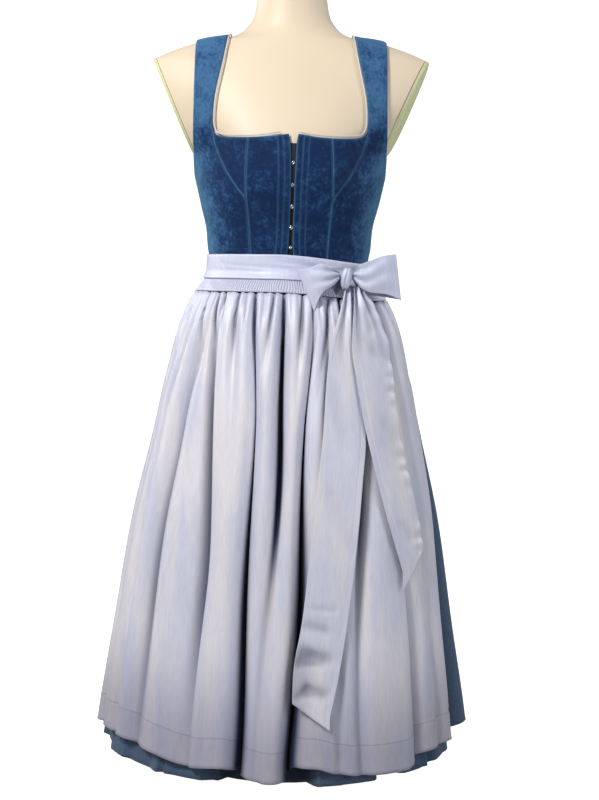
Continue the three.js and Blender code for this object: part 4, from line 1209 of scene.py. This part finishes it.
# columns crowd towards the fold lines, where the cloth turns most
def columnAngle(lines, u, z):
    count = len(lines) - 1
    k = np.clip((u * count).astype(int), 0, count - 1)
    t = u * count - k
    t = t - crowding * np.sin(2 * np.pi * t)
    angles = np.stack([foldAt(line, z) for line in lines])
    at = np.arange(len(u))
    return mix(angles[k, at], angles[k + 1, at], t)


# ---- The skirt ----
skirt = {"hem": 24, "thick": 0.9, "turnedHem": 32, "rows": 90, "perFold": 22, "drop": 670,
         "shade": 0.7, "shadeFrom": (14, 26)}
skirtHemLift = {"height": 28, "angle": 80, "reach": 34}
skirtWidths = [
    {"name": "front", "from": -46, "to": 44, "first": 0, "last": 5, "cut": 0.44},
    {"name": "left", "from": 44, "to": 128, "first": 5, "last": 10, "cut": 0.40},
    {"name": "back", "from": 128, "to": 223, "first": 10, "last": 16, "cut": 0.50},
    {"name": "right", "from": 223, "to": 314, "first": 16, "last": 21, "cut": 0.40},
]


def hemLift(degrees):
    away = np.abs(wrapped(degrees - skirtHemLift["angle"]))
    return skirtHemLift["height"] * smooth(1 - away / skirtHemLift["reach"])


def addSkirt():
    seam = math.degrees(0.0006)
    for width in skirtWidths:
        inside = [fold["angle"] for fold in skirtFolds[width["first"]:width["last"]]]
        lines = [[width["from"] + seam] * 4, *inside, [width["to"] - seam] * 4]

        def place(u, v, lines=lines):
            level = mix(skirt["hem"], waist["skirtTop"], v)
            degrees = columnAngle(lines, u, level)
            z = mix(skirt["hem"] + hemLift(degrees), waist["skirtTop"], v)
            return degrees, z

        def pointAt(u, v, place=place):
            degrees, z = place(u, v)
            depth, pull = skirtFolded(degrees, z)
            above = z - skirt["hem"] - hemLift(degrees)
            out = 0.7 * wander(degrees * 4, z, 60, 0.2) * opened(z)
            out += 0.5 * bell(above, 3) - 0.6 * bell(above - skirt["turnedHem"], 1.6)
            return pleatedPoint(degrees, z, depth, pull, out)

        def deepMask(u, v, place=place):
            degrees, z = place(u, v)
            return skirt["shade"] * eased(skirtFolded(degrees, z)[0], skirt["shadeFrom"])

        columns = skirt["perFold"] * (len(lines) - 1)
        piece = clothGrid(f"skirt_{width['name']}", columns, skirt["rows"], pointAt,
                          weave=(width["cut"] / mm, skirt["drop"]), masks={"deep": deepMask})
        piece.name = f"skirtWidth_{width['name']}"
        finishMesh(piece, crepe, [f"skirt_{width['name']}"], skirt["thick"])


addSkirt()
print("skirt made")

# ---- The apron ----
# dimBelow, dimOver and dimMost set the painted shade towards the hem
apron = {"hem": 36, "top": 659, "thick": 0.7, "rows": 120, "perFold": 44, "weave": (1100, 625),
         "foldShade": (9, 13), "gatherShade": (3.2, 3.8), "gatherShadeAbove": (555, 70), "gatherMost": 0.8,
         "dimBelow": 170, "dimOver": 150, "dimMost": 0.92}
# the hem dips between its main folds: its height at each angle
apronHem = {
    "angle": [-104, -88, -64, -40, -28, -17, -11, -4, 1, 5, 9, 16, 26, 38, 45, 60],
    "height": [44, 44, 56, 50, 42, 46, 36, 30, 30, 50, 50, 41, 35, 34, 48, 53],
}
apronLines = [apronEdges["left"], *[apronFolds[k]["angle"] for k in (1, 3, 4, 6, 7, 8, 10, 11)],
              apronEdges["right"]]


def addApron():
    def place(u, v):
        level = mix(apron["hem"], apron["top"], v)
        degrees = columnAngle(apronLines, u, level)
        foot = valueAt(apronHem, "height", degrees, "angle")
        top = apron["top"] - 0.9 - bowPull(degrees)
        return degrees, mix(foot, top, v), foot

    def pointAt(u, v):
        degrees, z, foot = place(u, v)
        depth, pull = apronFolded(degrees, z)
        above = z - foot
        arc = degrees * 4.2
        out = 0.9 * wander(arc, z, 75, 0.7) * opened(z)
        out += 0.5 * bell(above, 3)
        stitch = bell(above - hemStitch["height"], hemStitch["width"])
        pucker = wander(arc, above * 0.3, 4.5, 0.3) * bell(above - hemStitch["height"] + 4, 13)
        out += 0.45 * smooth((hemStitch["height"] - above) / 2)
        out += 0.8 * pucker - hemStitch["depth"] * stitch
        return pleatedPoint(degrees, z, depth, pull, out)

    # a painted shade darkens the cloth towards the hem, most on the turned hem, where the mask is full and
    # also marks the stitch line
    def hemShadeMask(u, v):
        _, z, foot = place(u, v)
        above = z - foot
        dim = apron["dimMost"] * smooth((apron["dimBelow"] - above) / apron["dimOver"])
        onHem = smooth((hemStitch["height"] + 1 - above) / 3)
        return dim + (1 - apron["dimMost"]) * onHem

    def deepMask(u, v):
        degrees, z, _ = place(u, v)
        main = foldedBy(apronFolds, degrees, z)[0] * opened(z)
        fine = eased(gatherDepth(apronGathers, degrees, z), apron["gatherShade"])
        high = eased(z, apron["gatherShadeAbove"])
        return np.maximum(eased(main, apron["foldShade"]), apron["gatherMost"] * fine * high)

    panel = clothGrid("apronPanel", apron["perFold"] * (len(apronLines) - 1), apron["rows"],
                      pointAt, weave=apron["weave"], masks={"turned": hemShadeMask, "deep": deepMask})
    finishMesh(panel, taffeta, ["apron_panel"], apron["thick"])


shirring = {"from": -104, "to": 88, "top": 684, "bottom": 659, "ribs": 124, "ribDepth": 2.1,
            "stitchRows": 5, "weave": (1100, 26), "ribShade": 0.6}


# a band of close vertical ribs held by rows of stitches
def addShirring():
    def ribAt(u, v):
        phase = shirring["ribs"] * u + 0.25 * np.sin(40 * u) + 0.2 * np.sin(9 * v + 60 * u)
        return np.abs(np.sin(np.pi * phase))

    def pointAt(u, v):
        degrees = mix(shirring["from"], shirring["to"], u)
        z = mix(shirring["bottom"], shirring["top"], v) - bowPull(degrees)
        rib = ribAt(u, v) ** 0.6
        held = 0.5 + 0.5 * np.cos(2 * np.pi * shirring["stitchRows"] * v)
        out = shirring["ribDepth"] * (rib - 1) * (0.6 + 0.4 * (1 - held)) - 0.3 * held
        return movedOut(skirtPoint, np.radians(degrees), z, out)

    # painted shade between the ribs
    def ribShade(u, v):
        return shirring["ribShade"] * (1 - ribAt(u, v)) ** 2

    band = clothGrid("apronShirring", shirring["ribs"] * 6, 20, pointAt, weave=shirring["weave"],
                     masks={"turned": noMask, "deep": ribShade})
    finishMesh(band, taffeta, ["apron_shirring"], 0.7)


# creases of the sash on its flat pattern: x along the front from the centre, z up
sashCreases = [
    ((-112, 697), (60, 690), 0.8, 2.2, -2), ((-96, 688), (-30, 683), 0.7, 2.6, 1),
    ((-20, 700), (66, 684), 1.1, 2.0, 2), ((-8, 690), (64, 676), 0.9, 2.4, -2),
    ((-104, 704), (-84, 680), 0.9, 2.4, 1.5), ((-60, 681), (50, 672), 0.5, 1.8, 1),
    ((120, 690), (70, 676), 1.0, 2.6, 2), ((130, 682), (84, 668), 0.9, 2.4, -1),
]
sash = {"columns": 360, "rows": 18, "out": 3.0, "step": 0.9, "radius": 108, "weave": (700, 33)}


def addSash():
    def pointAt(u, v):
        degrees = 360 * u - 180
        z = waist["sash"] - bowPull(degrees) + waist["sashHeight"] * (v - 0.5)
        x = np.radians(degrees) * sash["radius"]
        out = sash["out"] - creased(x, z, sashCreases)
        lapLine = mix(706, 690, smooth((x + 20) / 90))
        lap = smooth((x + 45) / 30) * smooth((z - lapLine) / 1.2)
        out += sash["step"] * lap + 0.45 * wander(x, z * 2.5, 34, 0.5)
        out -= 0.9 * bell(np.minimum(v, 1 - v) * waist["sashHeight"], 0.9)
        points = movedOut(skirtPoint, np.radians(degrees), z, out)
        points[:, 2] = z
        return points

    wrap = clothGrid("tieSash", sash["columns"], sash["rows"], pointAt, ring=True,
                     weave=sash["weave"], masks={"turned": noMask, "deep": noMask})
    finishMesh(wrap, taffeta, ["tie_sash"], 0.8)


addApron()
addShirring()
addSash()
print("apron and sash made")

# ---- The bow ----
# Each loop is a ribbon folded back on itself: its front layer runs from the knot to the outer
# fold, its back layer returns. Columns give the top and low edge of a layer and its y, by s,
# the way from the knot to the fold. Left and right are the wearer's.
rightLoop = {
    "front": {"s": [0, 0.2, 0.48, 0.76, 1],
              "topX": [69, 56, 43.5, 29, 13], "topZ": [687, 694, 697, 692, 688],
              "lowX": [69, 62, 50, 43, 36], "lowZ": [677, 670, 662, 653, 633],
              "y": [-99, -110, -119, -120, -113]},
    "back": {"s": [0, 0.2, 0.48, 0.76, 1],
             "topX": [70, 58, 44, 29, 13], "topZ": [684, 690, 694, 690, 688],
             "lowX": [73, 66, 57, 47, 36], "lowZ": [668, 653, 642, 639, 633],
             "y": [-95, -96, -98, -103, -113]},
    "pleats": 2.4, "pleatDepth": 3.4,
}
leftLoop = {
    "front": {"s": [0, 0.2, 0.5, 0.78, 1],
              "topX": [87, 96, 113, 130, 146], "topZ": [686, 696, 703.5, 709.5, 712],
              "lowX": [87, 100, 112, 132, 154], "lowZ": [678, 664, 659.5, 657.5, 650],
              "y": [-96, -104, -103, -96, -84]},
    "back": {"s": [0, 0.2, 0.5, 0.78, 1],
             "topX": [87, 96, 113, 130, 146], "topZ": [684, 693, 700.5, 706.5, 712],
             "lowX": [87, 98, 110, 130, 154], "lowZ": [677, 661, 656, 653.5, 650],
             "y": [-88, -86, -82, -78, -84]},
    "pleats": 2.2, "pleatDepth": 3.2,
}


bowCloth = {"thick": 0.7, "crown": 2.6, "backCrown": -0.4, "pleatFade": 0.36}


def loopPiece(name, loop, node, weave):
    def pleatAt(s, v):
        return np.sin(2 * np.pi * loop["pleats"] * (v + 0.12 * np.sin(5 * s)) + 1.2)

    def pointAt(u, v):
        front = u <= 0.5
        s = np.where(front, 2 * u, 2 - 2 * u)

        def column(key):
            ahead = valueAt(loop["front"], key, s, "s")
            behind = valueAt(loop["back"], key, s, "s")
            return np.where(front, ahead, behind)

        x = mix(column("lowX"), column("topX"), v)
        z = mix(column("lowZ"), column("topZ"), v)
        crown = bowCloth["crown"] * (1 - (2 * v - 1) ** 2) * smooth(s / 0.3) * smooth((1 - s) / 0.2)
        y = column("y") - np.where(front, 1, bowCloth["backCrown"]) * crown
        fade = np.exp(-s / bowCloth["pleatFade"]) * smooth(s / 0.06)
        y += loop["pleatDepth"] * pleatAt(s, v) * fade
        y += 1.0 * wander(s * 60, v * 50, 22, 1.3)
        return np.stack([x, y, z], -1)

    # painted shade on the loop's back layer and between the pleats near the knot
    def hollowShade(u, v):
        s = np.where(u <= 0.5, 2 * u, 2 - 2 * u)
        inside = smooth((u - 0.5) / 0.06) * (0.30 + 0.5 * smooth((0.6 - s) / 0.5))
        nearKnot = 0.5 * smooth((pleatAt(s, v) - 0.1) / 0.9) * np.exp(-s / 0.3)
        return np.maximum(inside, nearKnot)

    obj = clothGrid(name, 120, 44, pointAt, weave=weave, masks={"turned": noMask, "deep": hollowShade})
    finishMesh(obj, taffeta, [node], bowCloth["thick"])
    return obj


knot = {"x": 78.5, "y": -98, "z": 678.5, "half": 7.6, "deep": 8.5, "height": 15.0, "lean": 1.6,
        "cut": 80, "taper": 0.93}
# grooves that climb the knot: their angle at its middle, how far they climb round, width and shade
knotGrooves = [{"at": 262, "climb": 16, "width": 11, "shade": 1.0},
               {"at": 292, "climb": 20, "width": 7, "shade": 0.6}]


def addKnot():
    def riseAt(v):
        return np.sin(np.radians(mix(-knot["cut"], knot["cut"], v)))

    def grooveAt(u, rise, groove, width):
        return bell(wrapped(360 * u - groove["at"] - groove["climb"] * rise), width)

    def pointAt(u, v):
        rise = riseAt(v)
        turn = 2 * np.pi * u
        girth = np.sqrt(np.maximum(0, 1 - (knot["taper"] * rise) ** 2))
        girth *= 1 + 0.05 * np.sin(5 * turn + 2.2 * rise) - 0.16 * grooveAt(u, rise, knotGrooves[0], 13)
        x = knot["x"] + knot["half"] * girth * np.cos(turn) + knot["lean"] * rise
        y = knot["y"] + knot["deep"] * girth * np.sin(turn)
        return np.stack([x, y, knot["z"] + knot["height"] * rise], -1)

    def knotShade(u, v):
        rise = riseAt(v)
        grooves = sum(row["shade"] * grooveAt(u, rise, row, row["width"]) for row in knotGrooves)
        return np.clip(0.45 * grooves + 0.35 * smooth((np.abs(rise) - 0.8) / 0.2), 0, 0.7)

    obj = clothGrid("bowKnot", 72, 40, pointAt, ring=True, weave=(60, 32),
                    masks={"turned": noMask, "deep": knotShade})
    bm = bmesh.new()
    bm.from_mesh(obj.data)
    closeHoles(bm)
    bm.to_mesh(obj.data)
    bm.free()
    finishMesh(obj, taffeta, ["bow_knot"])


# each tail: its two edges by height, the slope of its cut end, how far it stands off the apron,
# its pleats under the knot, and the shade and puckers that only one of them has
longTail = {
    "z": [115, 162, 237, 313, 407, 464, 544, 587, 628, 660],
    "low": [13.5, 14, 25, 33, 42, 48, 53, 57, 67, 74],
    "high": [62, 72, 84, 93, 101, 105, 98, 90, 86, 82],
    "endSlope": 36, "out": 3.4, "pleats": 1.5, "phase": 0.5, "pleatDepth": 2.4, "pleatLow": 540,
    "footShade": 0.3, "pucker": 0.0, "weave": (60, 560),
}
shortTail = {
    "z": [289, 354, 410, 488, 544, 587, 628, 660],
    "low": [153, 134, 119, 100, 90, 84, 84, 84],
    "high": [186, 176, 163, 146, 139, 131, 115, 93],
    "endSlope": -50, "out": 7.5, "pleats": 1.7, "phase": 2.4, "pleatDepth": 3.0, "pleatLow": 545,
    "footShade": 0.0, "pucker": 0.8, "weave": (50, 400),
}
longCreases = [
    ((20, 232), (66, 219), 2.6, 8, 3), ((14, 206), (70, 186), 4.0, 10, -4),
    ((10, 178), (52, 188), 3.6, 9, 4), ((22, 160), (66, 142), 3.8, 9, -4),
    ((12, 136), (44, 150), 2.6, 7, 3), ((28, 254), (74, 247), 1.6, 4, 1),
    ((40, 420), (92, 300), 1.2, 14, 6), ((60, 560), (84, 440), 1.4, 10, -5),
]
shortCreases = [
    ((90, 610), (120, 560), 2.0, 7, 3), ((98, 640), (112, 596), 2.2, 5, -2),
    ((120, 500), (150, 420), 1.4, 12, 4), ((150, 360), (170, 320), 1.2, 8, 0),
]


def tailPiece(name, tail, creases, node):
    top, foot = tail["z"][-1], tail["z"][0]

    def place(u, v):
        z = mix(foot + tail["endSlope"] * (0.5 - u), top, v)
        low, high = valueAt(tail, "low", z), valueAt(tail, "high", z)
        return mix(low, high, u), z, high - low

    def pleatAt(u):
        return np.sin(2 * np.pi * tail["pleats"] * u + tail["phase"])

    def pointAt(u, v):
        x, z, width = place(u, v)
        phi = np.arcsin(np.clip(x / valueAt(skirtRings, "half", z), -1, 1))
        near = np.minimum(u, 1 - u) * width
        lift = tail["out"] + 3 * smooth((z - 600) / 60) - creased(x, z, creases)
        lift += tail["pleatDepth"] * pleatAt(u) * smooth((z - tail["pleatLow"]) / 110)
        lift += 1.2 * wander(x, z, 48, tail["phase"])
        lift += 0.4 * bell(near, 1.2) - 0.35 * bell(near - 6.5, 1.0)  # the rolled edge and its stitches
        puckers = np.sin(z / 4.2 + 2 * np.sin(z / 17)) + 0.6 * np.sin(z / 7.7)
        lift += tail["pucker"] * bell((1 - u) * width, 9) * puckers
        return movedOut(skirtPoint, phi, z, lift)

    def shade(u, v):
        x, z, _ = place(u, v)
        pleats = 0.4 * smooth((-0.2 - pleatAt(u)) / 0.8) * smooth((z - tail["pleatLow"]) / 90)
        # painted shade on the left of a tail's foot, as much as its footShade
        paintedFootShade = tail["footShade"] * smooth((215 - z) / 45) * smooth((0.62 - u) / 0.5)
        return np.maximum(0.42 * smooth(creased(x, z, creases) / 4.5), pleats) + paintedFootShade

    obj = clothGrid(name, 44, 150, pointAt, weave=tail["weave"], masks={"turned": noMask, "deep": shade})
    finishMesh(obj, taffeta, [node], bowCloth["thick"])
    return obj


def addBow():
    addKnot()
    loop = loopPiece("bowLoop_right", rightLoop, "bow_loop_right", (150, 55))
    loop = loopPiece("bowLoop_left", leftLoop, "bow_loop_left", (150, 55))
    tail = tailPiece("bowTail_long", longTail, longCreases, "bow_tail_long")
    tail = tailPiece("bowTail_short", shortTail, shortCreases, "bow_tail_short")


addBow()
print("bow made")
